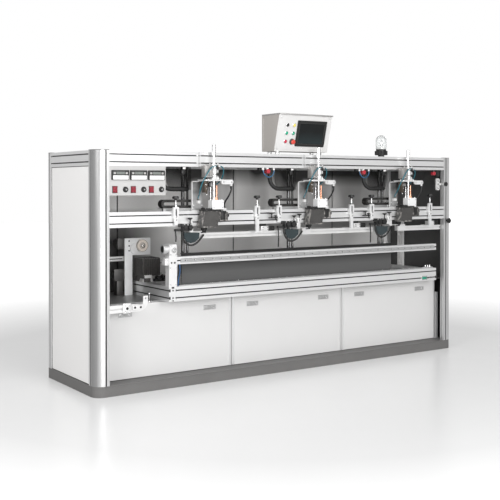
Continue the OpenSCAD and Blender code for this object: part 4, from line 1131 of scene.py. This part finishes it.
class MACHINE_OT_cylinders(bpy.types.Operator):
    """End caps, tie rods, valves and fittings of the air cylinders"""

    bl_idname = "machine.cylinders"
    bl_label = "Air cylinders"

    def execute(self, context):
        for n in STATIONS:
            self.station(n, (HEAD_X[n], HEAD_Y, 0))
        return {"FINISHED"}

    def station(self, n, at):
        z0, z1 = CYLINDER_Z, CYLINDER_TOP
        caps = Form(at)
        for low, high in ((z0 + 0.2, z0 + 16), (z1 - 18, z1 + 1.5)):
            outline = [(u - 31, v - 31) for u, v in round_corners(62, 62, 7)]
            caps.slab(outline, "z", low, high, 1.2)
        for u in (-24, 24):
            for v in (-24, 24):
                caps.turned((u, v, z0 + 14), UP, [(0, 3.2), (z1 - z0 - 28, 3.2)], 12)
                caps.bolt((u, v, z1 + 1), UP, 7)
        caps.turned((0, 0, z1), UP, [(0, 16), (6, 16), (8, 14), (8, 7.5)], 24)
        caps.done(f"cylinder_caps_{n}", "light_satin")
        valve = Form(at)
        valve.box((-101, -29, z0 + 17), (-27, 29, z1 - 11), 2)
        for k in range(2):
            valve.box((-94 + k * 34, -35, z0 + 30), (-68 + k * 34, -28, z0 + 84), 2)
        for k in range(4):
            valve.turned((-88 + k * 17, -8, z1 - 12), UP, [(0, 6), (5, 6), (6, 5), (14, 5), (15, 3.4)], 16)
        valve.done(f"valve_block_{n}", "valve_grey")
        self.hung_valves(n, at)
        fittings = Form(at)
        for u, v, w in ((26, -33, z1 - 10), (26, -33, z0 + 8), (-18, -33, z1 - 10)):
            fittings.turned((u, v + 4, w), FORWARD, [(0, 7), (5, 7), (5.5, 5.4), (14, 5.4), (15, 4.4)], 16)
        for k in range(3):
            fittings.turned((-86 + k * 22, -29, z0 + 26), FORWARD,
                            [(0, 5), (4, 5), (4.5, 4), (12, 4), (13, 3.2)], 14)
        fittings.done(f"air_fittings_{n}", "chrome")
        sensors = Form(at)
        for w in (z0 + 30, z0 + 80):
            sensors.box((12, -39, w), (24, -29, w + 26), 1.5)
            sensors.turned((0, 0, w + 10), UP, [(0, 31.2), (7, 31.2)], 32)
        sensors.done(f"cylinder_sensors_{n}", "black_plastic")
        self.bracket_parts(n, at)

    def hung_valves(self, n, at):
        """Dark valves and a shock absorber under the flange, beside the piston rod."""
        z = CYLINDER_Z - 12
        valves = Form(at)
        valves.box((-94, -8, z - 96), (-66, 34, z + 0.2), 2)
        valves.box((-90, -16, z - 84), (-70, -7, z - 52), 1.5)
        valves.turned((-56, 22, z + 0.2), DOWN, [(0, 9), (60, 9), (62, 7), (92, 7), (96, 4), (112, 4)], 18)
        valves.box((-64, 40, z - 74), (-30, 70, z + 0.2), 2)
        valves.turned((36, 44, z + 0.2), DOWN, [(0, 10), (52, 10), (54, 6), (86, 6)], 18)
        valves.done(f"hung_valves_{n}", "valve_brown")
        ports = Form(at)
        for w in (z - 30, z - 62):
            ports.turned((-80, -8, w), FORWARD, [(0, 6), (4, 6), (4.5, 4.6), (12, 4.6), (13, 3.4)], 14)
        ports.turned((-56, 22, z - 108), DOWN, [(0, 6), (6, 6), (7, 4)], 14)
        ports.turned((-47, 39, z - 40), FORWARD, [(0, 5), (8, 5), (9, 3.4)], 14)
        ports.done(f"valve_ports_{n}", "chrome")

    def bracket_parts(self, n, at):
        z = CYLINDER_Z - 12
        bolts = Form(at)
        plate_y = FRONT_Y + 34 - HEAD_Y
        for u in (-148, -70):
            for w in (BEAM_TOP + 16, BEAM_TOP + 44):
                bolts.bolt((u, plate_y, w), FORWARD, 10)
        for u in (-90, -46, 46):
            bolts.bolt((u, -24 if u > 0 else 10, z + 12), UP, 8)
        for u in (76, 156):
            bolts.turned((u, -26, z - 8), FORWARD,
                         [(-0.2, 9.4), (1.2, 9.4), (1.6, 8.6), (1.6, 6.8), (0.2, 6.6)], 20)
        bolts.done(f"bracket_bolts_{n}", "ground_steel")


class MACHINE_OT_air_tubes(bpy.types.Operator):
    """Air tubes of the cylinders, along the routes of the frame's own tubes"""

    bl_idname = "machine.air_tubes"
    bl_label = "Air tubes"

    supply = ((14, -40, 110), (-14, -40, 110), (-48, -50, 100), (-76, -52.5, 74), (-100, -52.5, 42),
              (-120, -48, 6),
              (-132, -34, -30), (-134, -14, -66), (-126, 12, -96), (-112, 44, -120), (-104, 72, -142),
              (-104, 72, -172))
    back = ((38, -8, 108), (66, -8, 108), (90, 0, 88), (100, 12, 54), (98, 28, 18), (88, 48, -14),
            (70, 66, -36),
            (54, 72, -42), (30, 72, -42))
    hose = ((156, -19, -54), (156, -19, -88), (150, 8, -136), (142, 46, -180), (140, 62, -212),
            (140, 62, -236))

    def execute(self, context):
        teal, black, ends = Form(), Form(), Form()
        for n in STATIONS:
            at = Vector((HEAD_X[n], HEAD_Y, CYLINDER_Z))
            for route in (self.supply, self.back):
                points = [at + Vector(point) for point in route]
                teal.tube(points, 4.8, 12)
                for end, inner in ((points[0], points[1]), (points[-1], points[-2])):
                    ends.turned(end, inner - end, [(-0.3, 7.6), (9, 7.6), (10, 6.6), (14, 6.2), (15, 5.2)],
                                18)
            points = [at + Vector(point) for point in self.hose]
            black.tube(points, 7, 14)
            for end, inner in ((points[0], points[1]), (points[-1], points[-2])):
                black.turned(end, inner - end, [(-0.2, 9.5), (14, 9.5), (16, 8), (22, 7.6)], 18)
        teal.done("air_lines", "air_teal", stands_for=("air_tubes",))
        black.done("air_hoses", "black_rubber")
        ends.done("air_line_ends", "dark_metal")
        return {"FINISHED"}


class MACHINE_OT_heads(bpy.types.Operator):
    """Guide rods, springs and fixing parts that move with each printing head"""

    bl_idname = "machine.heads"
    bl_label = "Printing heads"

    crosshead_top = 1508

    def execute(self, context):
        for n in STATIONS:
            self.head(n, (HEAD_X[n], HEAD_Y, 0), f"head_{n}")
        return {"FINISHED"}

    def head(self, n, at, body):
        z = self.crosshead_top
        rods = Form(at)
        rods.turned((20, -10, z - 2), UP, [(0, 6), (120, 6), (121, 5)], 20)
        rods.turned((20, -10, z - 2), UP, [(0, 11), (22, 11), (24, 9)], 20)
        rods.done(f"copper_rod_{n}", "copper", body)
        spring = Form(at)
        turns, pitch, radius = 11, 9.0, 9.5
        path = [(-34 + radius * math.cos(t * math.pi / 4), radius * math.sin(t * math.pi / 4),
                 z + 4 + t * pitch / 8)
                for t in range(turns * 8 + 1)]
        spring.tube(path, 1.6, 6, 1)
        spring.done(f"return_spring_{n}", "dark_metal", body)
        bolts = Form(at)
        for u in (-24, 64):
            for v in (-22, 22):
                bolts.bolt((u, v, z), UP, 7)
        for u in (-22, 62):
            for w in (1448, 1492):
                bolts.bolt((u, -35, w), FORWARD, 6)
        bolts.done(f"crosshead_bolts_{n}", "ground_steel", body)
        box = Form(at)
        front = -35
        for u in (-96, -38, 20):
            box.bolt((u, front - 5.8, 1425), FORWARD, 6)
        box.slab([(-110, 1414), (34, 1414), (14, 1296), (-134, 1296)], "y", front - 0.2, front - 3, 1.5)
        for w in (1400, 1340, 1308):
            shift = -26 * (1432 - w) / 148
            for u in (-98, 22):
                box.bolt((u + shift, front - 2.6, w), FORWARD, 6)
        box.done(f"squeegee_cover_{n}", "dark_metal", body, slot="squeegee_grey")
        studs = Form(at)
        for k in range(7):
            studs.turned((-104 + k * 22, -24, 1431.5), UP, [(0, 8), (7, 8), (9, 6), (9, 4), (13, 4)], 12)
        studs.box((-112, -39, 1430), (-40, -20, 1441), 2)
        studs.knob((-96, 18, 1432), UP, 20, 14)
        studs.done(f"squeegee_studs_{n}", "black_plastic", body)
        knobs = Form(at)
        knobs.knob((128, 0, 1380), RIGHT, 17, 12)
        knobs.done(f"side_knob_{n}", "black_plastic", body)
        jaw = Form(at)
        jaw.box((52, -34, 1346), (92, 34, 1418), 3)
        jaw.box((46, -38, 1404), (98, 38, 1420), 3)
        jaw.done(f"side_jaw_{n}", "black_plastic", body)


class MACHINE_OT_screens(bpy.types.Operator):
    """Knobs, blocks, valves and bent pipes on the screen bars"""

    bl_idname = "machine.screens"
    bl_label = "Screen carriers"

    half = 25
    stem_y = -491
    arm_y = -474
    pan_y = -442
    bar_y = -398

    def execute(self, context):
        for n in STATIONS:
            self.carrier(n, f"screen_{n}")
        return {"FINISHED"}

    def carrier(self, n, body):
        low, high = corners(f"screen_clamps_{n}")
        knobs, nuts = Form(), Form()
        for x in (low.x + self.half, high.x - self.half):
            knobs.knob((x, self.stem_y, high.z - 21), UP, 29, 17, 5)
            knobs.turned((x, self.stem_y, high.z - 34), UP, [(0, 12.2), (14, 14), (15, 10)], 20)
            # Painted shade: a thin black strip in the slot of each clamp block.
            knobs.box((x - 3, -500.7, 1372), (x + 3, -499.6, 1436), 0.3)
            nuts.turned((x, self.stem_y, BEAM_TOP + 33), UP, [(0, 12), (7, 12), (8, 10), (12, 10), (13, 7)],
                        6)
            nuts.turned((x, self.stem_y, BEAM_TOP + 46), UP, [(0, 6.4), (30, 6.4), (31, 5.2)], 16)
            nuts.bolt((x, -500, BEAM_TOP - 42), FORWARD, 11)
            nuts.bolt((x, -500, BEAM_Z + 50), FORWARD, 9)
        knobs.done(f"clamp_knobs_{n}", "black_plastic", body)
        nuts.done(f"clamp_nuts_{n}", "chrome", body)
        self.left_fixtures(n, body, low.x + self.half)
        self.right_fixtures(n, body, high.x - self.half)

    def left_fixtures(self, n, body, x):
        """Knobs, blocks and a bent pipe on the arm between the left clamp and the bar's end block."""
        dark = Form((x, self.arm_y, 0))
        dark.box((60, -22, 1262), (176 if n > 1 else 150, -8, 1318), 3)
        dark.box((26, -18, 1292), (66, -8, 1320), 2)
        if n > 1:
            for u, w, radius in ((-84, 1382, 20), (-44, 1359, 14)):
                dark.turned((u, -25, w - 32), UP, [(0, 6), (34, 6)], 14)
                dark.knob((u, -25, w), UP, radius, 12, 5)
            dark.box((-108, -32, 1344), (-27, -10, 1354), 2)
        for u, w, radius in ((92, 1290, 25), (150, 1288, 27)) if n > 1 else ((84, 1290, 21),
                                                                             (130, 1288, 21)):
            dark.knob((u, -22, w), FORWARD, radius, 20, 6)
            dark.turned((u, -9, w), FORWARD, [(0, radius * 0.6), (14, radius * 0.6)], 20)
        for u, w, radius in ((156, 1348, 20), (214, 1362, 22)) if n > 1 else ((128, 1348, 20),):
            dark.turned((u, -26, 1312), UP, [(0, 5), (w - 1312, 5)], 12)
            dark.turned((u, -26, w), UP,
                        [(0, 6), (5, radius * 0.55), (12, radius), (17, radius), (19, radius * 0.8)], 20)
        dark.done(f"arm_knobs_{n}", "black_plastic", body)
        light = Form((x, self.arm_y, 0))
        if n > 1:
            light.box((196, -16, 1262), (236, -8, 1300), 2)
            light.box((194, -30, 1300), (234, -9, 1346), 3)
        for u in (78, 108, 138):
            light.bolt((u, -22, 1310), FORWARD, 7)
        for u in (207, 228) if n > 1 else ():
            light.bolt((u, -30, 1336), FORWARD, 8)
        light.done(f"arm_blocks_{n}", "light_satin", body)
        pipe = Form((x, self.arm_y, 0))
        pipe.tube([(82, 26, 1264), (84, 26, 1226), (98, 26, 1184), (128, 26, 1152), (168, 26, 1140),
                   (208, 26, 1150), (244, 26, 1176), (272, 28, 1204), (290, 34, 1222)], 8, 14)
        pipe.turned((82, 26, 1264), UP, [(-12, 11), (22, 11), (24, 9)], 18)
        foot = 1092 if n > 1 else 1172
        pipe.tube([(20, 22, 1262), (21, 22, 1236), (25, 24, (foot + 1236) / 2), (24, 25, foot)], 6, 12)
        pipe.box((10, 2, 1258), (92, 34, 1276), 3)
        pipe.done(f"bent_pipes_{n}", "black_rubber", body)
        pan = Form((x, self.pan_y, 0))
        pan.slab([(100, 1246), (250, 1240), (246, 1196), (206, 1164), (166, 1156), (124, 1172),
                  (104, 1206)], "y", -5, 5, 2)
        pan.done(f"catch_pans_{n}", "teal_sheet", body)

    def right_fixtures(self, n, body, x):
        """A white block, dark valves and knobs on the bar beside the right clamp."""
        reach = 124 if n < 3 else 86
        top = BEAM_Z - 65
        light = Form((x + reach, self.bar_y, 0))
        light.box((-38, -34, top), (38, 22, top + 43), 4)
        light.done(f"bar_blocks_{n}", "light_satin", body)
        dark = Form((x + reach, self.bar_y, 0))
        end = 104 if n < 3 else 88
        dark.box((44, -30, top), (end, 20, top + 40), 3)
        dark.box((50, -33, top + 8), (72, -29, top + 34), 1)
        for u in (60, end - 14):
            dark.turned((u, -30, top + 20), FORWARD, [(0, 13), (3, 13), (4, 9), (5, 9)], 20)
        dark.box((-46, -30, top + 42), (16, 16, top + 62), 3)
        dark.done(f"bar_valves_{n}", "black_plastic", body)
        screws = Form((x + reach, self.bar_y, 0))
        for u in (-24, 24):
            screws.bolt((u, -34, top + 30), FORWARD, 8)
            screws.bolt((u, -34, top + 12), FORWARD, 8)
        screws.done(f"bar_screws_{n}", "chrome", body)
        front = Form((HEAD_X[n] - 40, -418, 1270))
        front.box((-24, -6, -34), (24, 0, 22), 2)
        front.knob((0, -6, 0), FORWARD, 26, 19, 6)
        front.done(f"end_knobs_{n}", "black_plastic", body)


class MACHINE_OT_guards(bpy.types.Operator):
    """Black bent cable guides in front of the smoked guards"""

    bl_idname = "machine.guards"
    bl_label = "Cable guides"

    def execute(self, context):
        guides = Form()
        low = corners("smoked_guards")[0]
        y, radius, turn = low.y - 19, 18, 104
        top = corners("roof_panel")[0].z - 0.5
        for n in STATIONS:
            left, right = HEAD_X[n] - 392, HEAD_X[n] - 130
            foot = low.z + 8
            bend = [(left + turn - turn * math.sin(a), y, foot + turn - turn * math.cos(a))
                    for a in (math.radians(angle) for angle in (90, 67, 45, 22, 0))]
            guides.tube([(left, y, top), (left, y, top - 100)] + bend + [(right - 60, y, foot),
                                                                         (right, y, foot)], radius, 14, 3)
            for k in range(5):
                guides.turned((right - 20 - k * 30, y, foot), RIGHT, [(0, radius + 2), (10, radius + 2)],
                              14)
                guides.turned((left, y, foot + turn + 20 + k * 30), UP, [(0, radius + 2), (10, radius + 2)],
                              14)
        guides.done("cable_guides", "black_rubber")
        return {"FINISHED"}


class MACHINE_OT_guides(bpy.types.Operator):
    """Bright lands and countersunk screws of the guide strips"""

    bl_idname = "machine.guides"
    bl_label = "Guide strips"

    pitch = 87
    land = 72

    def execute(self, context):
        low, high = corners("guide_strips")
        lands, screws = Form(), Form()
        count = int((high.x - low.x - self.pitch / 2) // self.pitch)
        z = corners("upper_rail")[0].z + 30
        top = corners("lower_rail")[1].z + 9
        for i in range(count + 1):
            hole = low.x + self.pitch / 2 + i * self.pitch
            if i < count:
                x = hole + self.pitch / 2 - self.land / 2
                shape = [(u + x, v) for u, v in round_corners(self.land, 12, 5.9)]
                lands.slab([(u, v + z - 6) for u, v in shape], "y", FRONT_Y - 8.5, FRONT_Y - 10.2, 0.4)
                lands.slab([(u, v + FRONT_Y + 24) for u, v in shape], "z", top - 0.5, top + 1.2, 0.4)
            screws.turned((hole, FRONT_Y - 5.2, z), FORWARD,
                          [(0, 5), (2.4, 5), (2.8, 4.2), (2.8, 2.4), (1, 2.4)], 12)
            screws.turned((hole, FRONT_Y + 30, top - 3.8), UP,
                          [(0, 5), (2.4, 5), (2.8, 4.2), (2.8, 2.4), (1, 2.4)], 12)
        lands.done("guide_lands", "chrome", slot="bright_steel")
        screws.done("guide_screws", "dark_metal", slot="bright_steel")
        return {"FINISHED"}


class MACHINE_OT_feed(bpy.types.Operator):
    """Small parts of the feed drive, the end bracket and the chuck"""

    bl_idname = "machine.feed"
    bl_label = "Feed drive"

    def execute(self, context):
        self.wheel()
        self.bracket()
        self.motor()
        self.behind()
        return {"FINISHED"}

    def wheel(self):
        low, high = corners("feed_wheel")
        centre = (middle("feed_wheel").x, low.y, middle("feed_wheel").z)
        hub = Form()
        hub.turned(centre, FORWARD, [(-6, 19), (0.5, 19), (1.2, 18), (1.2, 13), (-0.5, 12.4), (-0.5, 8),
                                     (2.4, 8), (3, 6)], 32)
        hub.done("wheel_hub", "chrome", "wheel")
        pin = Form()
        pin.turned(centre, FORWARD, [(0, 5.4), (3.6, 5.4), (4.2, 4)], 24)
        for u, v in ring_points(36.5, 6):
            spot = (centre[0] + u, low.y + 12.5, centre[2] + v)
            pin.turned(spot, FORWARD, [(-2, 4.2), (0.4, 4.2), (0.5, 0.1)], 14)
        pin.done("wheel_pins", "black_plastic", "wheel")
        dark = Form()
        for k in (-46, 0, 46):
            spot = (corners("feed_plate")[0].x + 42, high.y - 24, centre[2] + k * 0.9)
            dark.turned((spot[0], corners("feed_plate")[0].y + 9.5, spot[2]), FORWARD,
                        [(-3, 6.8), (1.2, 6.8), (1.3, 0.1)], 18)
        dark.done("plate_plugs", "black_plastic")

    def bracket(self):
        low = corners("end_bracket")[0]
        dark = Form()
        # Painted shade: black discs inside the bores of the end bracket.
        for u in (0.32, 0.72):
            x = low.x + 73 * u
            dark.turned((x, low.y + 22, 1006), FORWARD, [(0, 8.3), (3, 8.3), (3.2, 0.1)], 20)
        chuck = corners("loading_chuck")
        middle_y, middle_z = FRONT_Y + 30, (chuck[0].z + chuck[1].z) / 2
        dark.turned((chuck[0].x + 8, middle_y, middle_z), LEFT, [(-3, 27), (5, 27), (6, 24), (6, 12)], 32)
        # Painted shade: black discs inside the bores of the cross beam ends.
        for z in (CROSS_Z + 30, CROSS_Z + 90):
            dark.turned((low.x + 36.5, FRONT_Y + 3, z), FORWARD, [(0, 7.2), (2.6, 7.2), (2.8, 0.1)], 20)
        dark.done("bracket_bores", "black_plastic")
        bright = Form()
        bright.turned((chuck[0].x + 27, middle_y, middle_z), LEFT, [(0, 10), (14, 10), (17, 7), (24, 6)],
                      24)
        boss = (low.x + 40.5, low.y, 1108)
        bright.turned(boss, FORWARD, [(-1, 21.4), (2, 21.4), (3, 20), (3, 15), (1.5, 14.5), (1.5, 6.2)], 32)
        bright.box((boss[0] - 13, boss[1] - 3, boss[2] - 1.5), (boss[0] + 13, boss[1] - 1, boss[2] + 1.5),
                   0.3)
        bright.box((boss[0] - 1.5, boss[1] - 3, boss[2] - 13), (boss[0] + 1.5, boss[1] - 1, boss[2] + 13),
                   0.3)
        for u, v in ring_points(36.4, 12):
            y, z = middle_y + u, middle_z + v
            bright.box((chuck[0].x + 2, y - 1.5, z - 1.5), (chuck[0].x + 34, y + 1.5, z + 1.5), 0.5)
        for u, w in ((12, 1146), (60, 1146), (12, 1072), (60, 1072), (10, 966), (62, 966), (12, 830),
                     (60, 830)):
            bright.bolt((low.x + u, low.y + (8 if w > 1050 else 9 if w > 950 else 12) - 0.2, w), FORWARD, 7)
        bright.done("bracket_metal", "chrome")
        wing = Form()
        wing.box((low.x - 34, FRONT_Y + 2, 986), (low.x + 1, FRONT_Y + 56, 1026), 4)
        wing.box((low.x - 30, FRONT_Y + 6, 1026), (low.x + 1, FRONT_Y + 58, 1042), 3)
        wing.turned((low.x - 16, FRONT_Y + 2, 1006), FORWARD, [(-1, 9), (2, 9), (3, 7)], 20)
        wing.done("bracket_wing", "light_satin")
        cables = Form()
        leads = Form()
        for form, u in ((cables, 112), (leads, 98), (leads, 106), (leads, 119)):
            form.tube([(low.x + u, FRONT_Y + 26, 990), (low.x + u + 4, FRONT_Y + 28, 930),
                       (low.x + u - 8, FRONT_Y + 30, 870), (low.x + u - 14, FRONT_Y + 32, 816)], 3.6, 10)
        cables.done("blue_leads", "blue_cable")
        leads.done("black_leads", "black_rubber")

    def motor(self):
        low = corners("feed_motor")[0]
        y = low.y
        pale = Form()
        pale.slab([(low.x - 6, 813), (low.x + 96, 813), (low.x + 70, 862), (low.x + 18, 862)], "y", y + 8,
                  y + 74, 2)
        pale.box((low.x + 10, y - 2, 846), (low.x + 78, y + 8, 872), 2)
        pale.done("motor_foot", "moulded_white")
        small = Form()
        for x, radius in ((low.x + 196, 24), (low.x + 140, 17)):
            small.turned((x, y - 10, 846), FORWARD,
                         [(-40, radius), (26, radius), (28, radius * 0.8), (28, radius * 0.5),
                                                        (36, radius * 0.5)], 28)
        small.box((low.x + 112, y - 6, 813), (low.x + 228, y + 40, 836), 3)
        small.done("small_motors", "black_plastic")
        rings = Form()
        for x, radius in ((low.x + 196, 24.6), (low.x + 140, 17.6)):
            for step in (-34, 8, 22):
                rings.turned((x, y - 10, 846), FORWARD, [(step, radius), (step + 5, radius)], 28)
        rings.turned((low.x + 233, y + 75, 933), RIGHT, [(-4, 33), (20, 33), (22, 30), (22, 22)], 32)
        for u, w in ((176, 882), (176, 968), (222, 882), (222, 968)):
            rings.bolt((low.x + u, y + 19.8, w), FORWARD, 8)
        rings.done("motor_rings", "chrome")
        ribs = Form()
        for k in range(9):
            x = low.x + 12 + k * 17
            ribs.box((x, y - 3, 870), (x + 7, y + 1, 1006), 1)
            ribs.box((x, y + 6, 1012), (x + 7, y + 150, 1016), 1)
        ribs.done("motor_ribs", "dark_cast")

    def behind(self):
        """Dark motor and a short carrier profile behind the drive plate."""
        low, high = corners("feed_plate")
        y = high.y
        dark = Form()
        dark.turned((low.x - 14, y + 12, 1134), BACKWARD, [(0, 44), (14, 44), (16, 40), (96, 40), (98, 34)],
                    32)
        dark.box((low.x - 60, y + 0.5, 1086), (low.x + 66, y + 13, 1180), 3)
        dark.turned((low.x - 40, y + 8, 868), BACKWARD, [(0, 48), (70, 48), (72, 42)], 32)
        dark.box((low.x - 92, y + 0.5, 818), (low.x + 40, y + 10, 918), 3)
        dark.box((low.x - 66, y + 2, 693), (low.x - 10, y + 60, 822), 3)
        dark.done("rear_motors", "dark_cast")
        bar = Form()
        side = corners("side_panels")[0].x + 6
        bar.box((side, y + 14, 984), (low.x + 30, y + 54, 1024), 2)
        bar.done("carrier_bar", "light_satin")
        # Painted shade: a thin black strip inside the carrier bar's slot.
        slot = Form()
        slot.box((side + 2, y + 13.4, 1000), (low.x - 10, y + 15, 1008), 0.4)
        slot.done("carrier_slot_shade", "black_plastic")


class MACHINE_OT_ends(bpy.types.Operator):
    """Knobs, valves and brackets at the right end and under the top rail"""

    bl_idname = "machine.ends"
    bl_label = "End fittings"

    def execute(self, context):
        self.top_valves()
        self.right_end()
        self.stub()
        self.sensor()
        return {"FINISHED"}

    def top_valves(self):
        """Red valves with a white cap and a blue loop, hung under the top rail."""
        red, white, loops, dark = Form(), Form(), Form(), Form()
        for n in STATIONS:
            x, y, z = HEAD_X[n] - 496, FRONT_Y + 34, RAIL_Z
            if n > 1:
                red.turned((x, y, z - 30), FORWARD,
                           [(-20, 20), (16, 20), (19, 17), (19, 8), (24, 8), (25, 5)], 28)
                white.turned((x - 4, y, z + 0.2), DOWN, [(0, 15), (12, 15), (14, 10), (18, 10)], 24)
                loops.tube([(x - 58, y - 14, z - 8), (x - 52, y - 16, z - 44), (x - 28, y - 18, z - 72),
                            (x + 6, y - 18, z - 80), (x + 40, y - 16, z - 66), (x + 58, y - 14, z - 34),
                            (x + 56, y - 12, z - 12)], 4.5, 12)
                for u in (-58, 56):
                    white.turned((x + u, y - 13, z + 0.2), DOWN, [(0, 9), (18, 9), (20, 7)], 18)
            dark.box((x + 24, y - 12, z - 26), (x + 64, y + 20, z + 0.2), 3)
            dark.box((x - 96, y - 8, z - 22), (x - 66, y + 20, z + 0.2), 3)
            dark.turned((x + 256, y, z + 0.2), DOWN, [(0, 16), (20, 16), (22, 11), (34, 11)], 20)
            dark.box((x + 238, y - 6, z - 60), (x + 274, y + 20, z - 30), 3)
            white.box((x + 243, y - 18, z - 20), (x + 269, y - 10, z - 4), 2)
        red.done("top_valves", "valve_red")
        white.done("top_valve_caps", "moulded_white")
        loops.done("top_valve_loops", "air_blue")
        dark.done("top_boxes", "black_plastic")

    def right_end(self):
        knobs, bright, red, white = Form(), Form(), Form(), Form()
        x = corners("front_posts")[1].x - 74
        knobs.knob((x, FRONT_Y - 14, 1277), FORWARD, 27, 19, 5)
        bright.turned((x, FRONT_Y + 0.5, 1277), FORWARD, [(0, 12), (6, 12), (8, 7), (15, 7)], 20)
        x = corners("front_posts")[1].x - 120
        knobs.knob((x + 16, FRONT_Y - 4, 1641), FORWARD, 22, 16, 5)
        bright.turned((x + 16, FRONT_Y + 40, 1641), FORWARD, [(0, 8), (44, 8)], 18)
        white.box((x - 40, FRONT_Y + 30, 1630), (x + 1, FRONT_Y + 44, 1652), 3)
        white.slab([(u + x - 78, v + 1580) for u, v in round_corners(46, 118, 14)], "y", FRONT_Y + 44,
                   FRONT_Y + 26, 2)
        for z in (1602, 1639, 1676):
            knobs.turned((x - 55, FRONT_Y + 26.4, z), FORWARD, [(-1, 9), (0.6, 9), (0.8, 0.1)], 20)
            bright.turned((x - 55, FRONT_Y + 26, z), FORWARD, [(-1, 13), (1.4, 13), (1.6, 9.4), (0.4, 9.2)],
                          24)
        red.turned((x - 112, FRONT_Y + 34, RAIL_Z - 34), FORWARD,
                   [(-18, 19), (14, 19), (16, 15), (16, 8), (22, 8)], 24)
        knobs.turned((x - 112, FRONT_Y + 34, RAIL_Z + 0.2), DOWN, [(0, 14), (20, 14), (22, 10)], 20)
        knobs.box((x - 84, FRONT_Y + 20, RAIL_Z - 62), (x - 40, FRONT_Y + 50, RAIL_Z + 0.2), 4)
        red.done("right_valve", "valve_red")
        white.done("right_bracket", "light_satin")
        bright.done("right_rings", "chrome")
        knobs.done("right_knobs", "black_plastic")

    def stub(self):
        """Clamp, pins and screws on the short rail's arm."""
        low, high = corners("side_stub")
        pale, dark, bright = Form(), Form(), Form()
        pale.box((low.x + 110, low.y - 12, low.z - 6), (low.x + 178, low.y + 0.5, low.z + 72), 4)
        pale.slab([(u + low.x + 190, v + low.z + 12) for u, v in round_corners(96, 44, 14)], "y",
                  low.y - 10, low.y + 0.5, 2)
        for u, w in ((126, 8), (162, 8), (126, 54), (162, 54)):
            bright.bolt((low.x + u, low.y - 12, low.z + w), FORWARD, 9)
        for u, w, radius in ((144, 32, 11), (212, 34, 9), (262, 34, 9)):
            dark.turned((low.x + u, low.y - 9.4 if u > 180 else low.y - 11.4, low.z + w), FORWARD,
                        [(0, radius), (1.6, radius), (1.8, 0.1)], 20)
        coil = [(high.x + 14 + 7 * math.cos(t * math.pi / 4), low.y + 6 + 7 * math.sin(t * math.pi / 4),
                 high.z - 44 + t)
                for t in range(0, 57)]
        dark.tube(coil, 1.8, 6, 1)
        bright.turned((high.x + 14, low.y + 6, high.z - 52), UP,
                      [(0, 9), (8, 9), (9, 4), (64, 4), (65, 9), (72, 9)], 18)
        pale.box((high.x - 10, low.y + 1, high.z - 56), (high.x + 24, low.y + 12, high.z - 50), 2)
        pale.done("stub_clamp", "light_satin")
        dark.done("stub_pins", "black_plastic")
        bright.done("stub_screws", "chrome")

    def sensor(self):
        """Green sensor and fittings at the right end of the lower rail."""
        low, high = corners("lower_rail")
        x = high.x - 168
        green, bright, dark = Form(), Form(), Form()
        green.box((x - 26, FRONT_Y - 13, low.z + 17), (x + 28, FRONT_Y + 0.5, low.z + 42), 3)
        bright.box((x - 34, FRONT_Y - 5, low.z + 10), (x + 44, FRONT_Y + 0.5, low.z + 50), 2)
        dark.tube([(x + 26, FRONT_Y - 7, low.z + 30), (x + 52, FRONT_Y - 8, low.z + 26),
                   (x + 84, FRONT_Y - 5, low.z + 34),
                   (x + 118, FRONT_Y - 3.4, low.z + 30), (x + 160, FRONT_Y - 3.2, low.z + 30)], 3, 10)
        dark.box((x + 156, FRONT_Y - 8, low.z + 20), (x + 176, FRONT_Y + 0.5, low.z + 42), 2)
        for k in range(3):
            bright.turned((x + 50 + k * 30, FRONT_Y + 30, high.z + 9), UP,
                          [(0, 11), (8, 11), (10, 7), (22, 7), (23, 5)], 20)
        bright.box((x + 36, FRONT_Y + 10, high.z + 8.5), (x + 128, FRONT_Y + 50, high.z + 14), 2)
        green.done("green_sensor", "sensor_green")
        bright.done("sensor_fittings", "chrome")
        dark.done("sensor_lead", "black_rubber")


PIECES = (MACHINE_OT_stage, MACHINE_OT_finishes, MACHINE_OT_frame_parts, MACHINE_OT_doors,
          MACHINE_OT_console,
          MACHINE_OT_heater, MACHINE_OT_beacon, MACHINE_OT_cylinders, MACHINE_OT_air_tubes, MACHINE_OT_heads,
          MACHINE_OT_screens, MACHINE_OT_guards, MACHINE_OT_guides, MACHINE_OT_feed, MACHINE_OT_ends)


class MACHINE_PT_parts(bpy.types.Panel):
    """Lists the steps that dress the machine"""

    bl_label = "Mug screen printing machine"
    bl_idname = "MACHINE_PT_parts"
    bl_space_type = "VIEW_3D"
    bl_region_type = "UI"
    bl_category = "Machine"

    def draw(self, context):
        for piece in PIECES:
            self.layout.operator(piece.bl_idname)
        for group in (context.scene.machine_finishes, context.scene.machine_stage):
            for name in group.__annotations__:
                self.layout.prop(group, name)


CLASSES = (FinishSettings, StageSettings) + PIECES + (MACHINE_PT_parts,)


def register():
    for each in CLASSES:
        bpy.utils.register_class(each)
    bpy.types.Scene.machine_finishes = PointerProperty(type=FinishSettings)
    bpy.types.Scene.machine_stage = PointerProperty(type=StageSettings)


def unregister():
    del bpy.types.Scene.machine_stage
    del bpy.types.Scene.machine_finishes
    for each in reversed(CLASSES):
        bpy.utils.unregister_class(each)


def main():
    register()
    for piece in PIECES:
        group, name = piece.bl_idname.split(".")
        getattr(getattr(bpy.ops, group), name)()


if __name__ == "__main__":
    main()
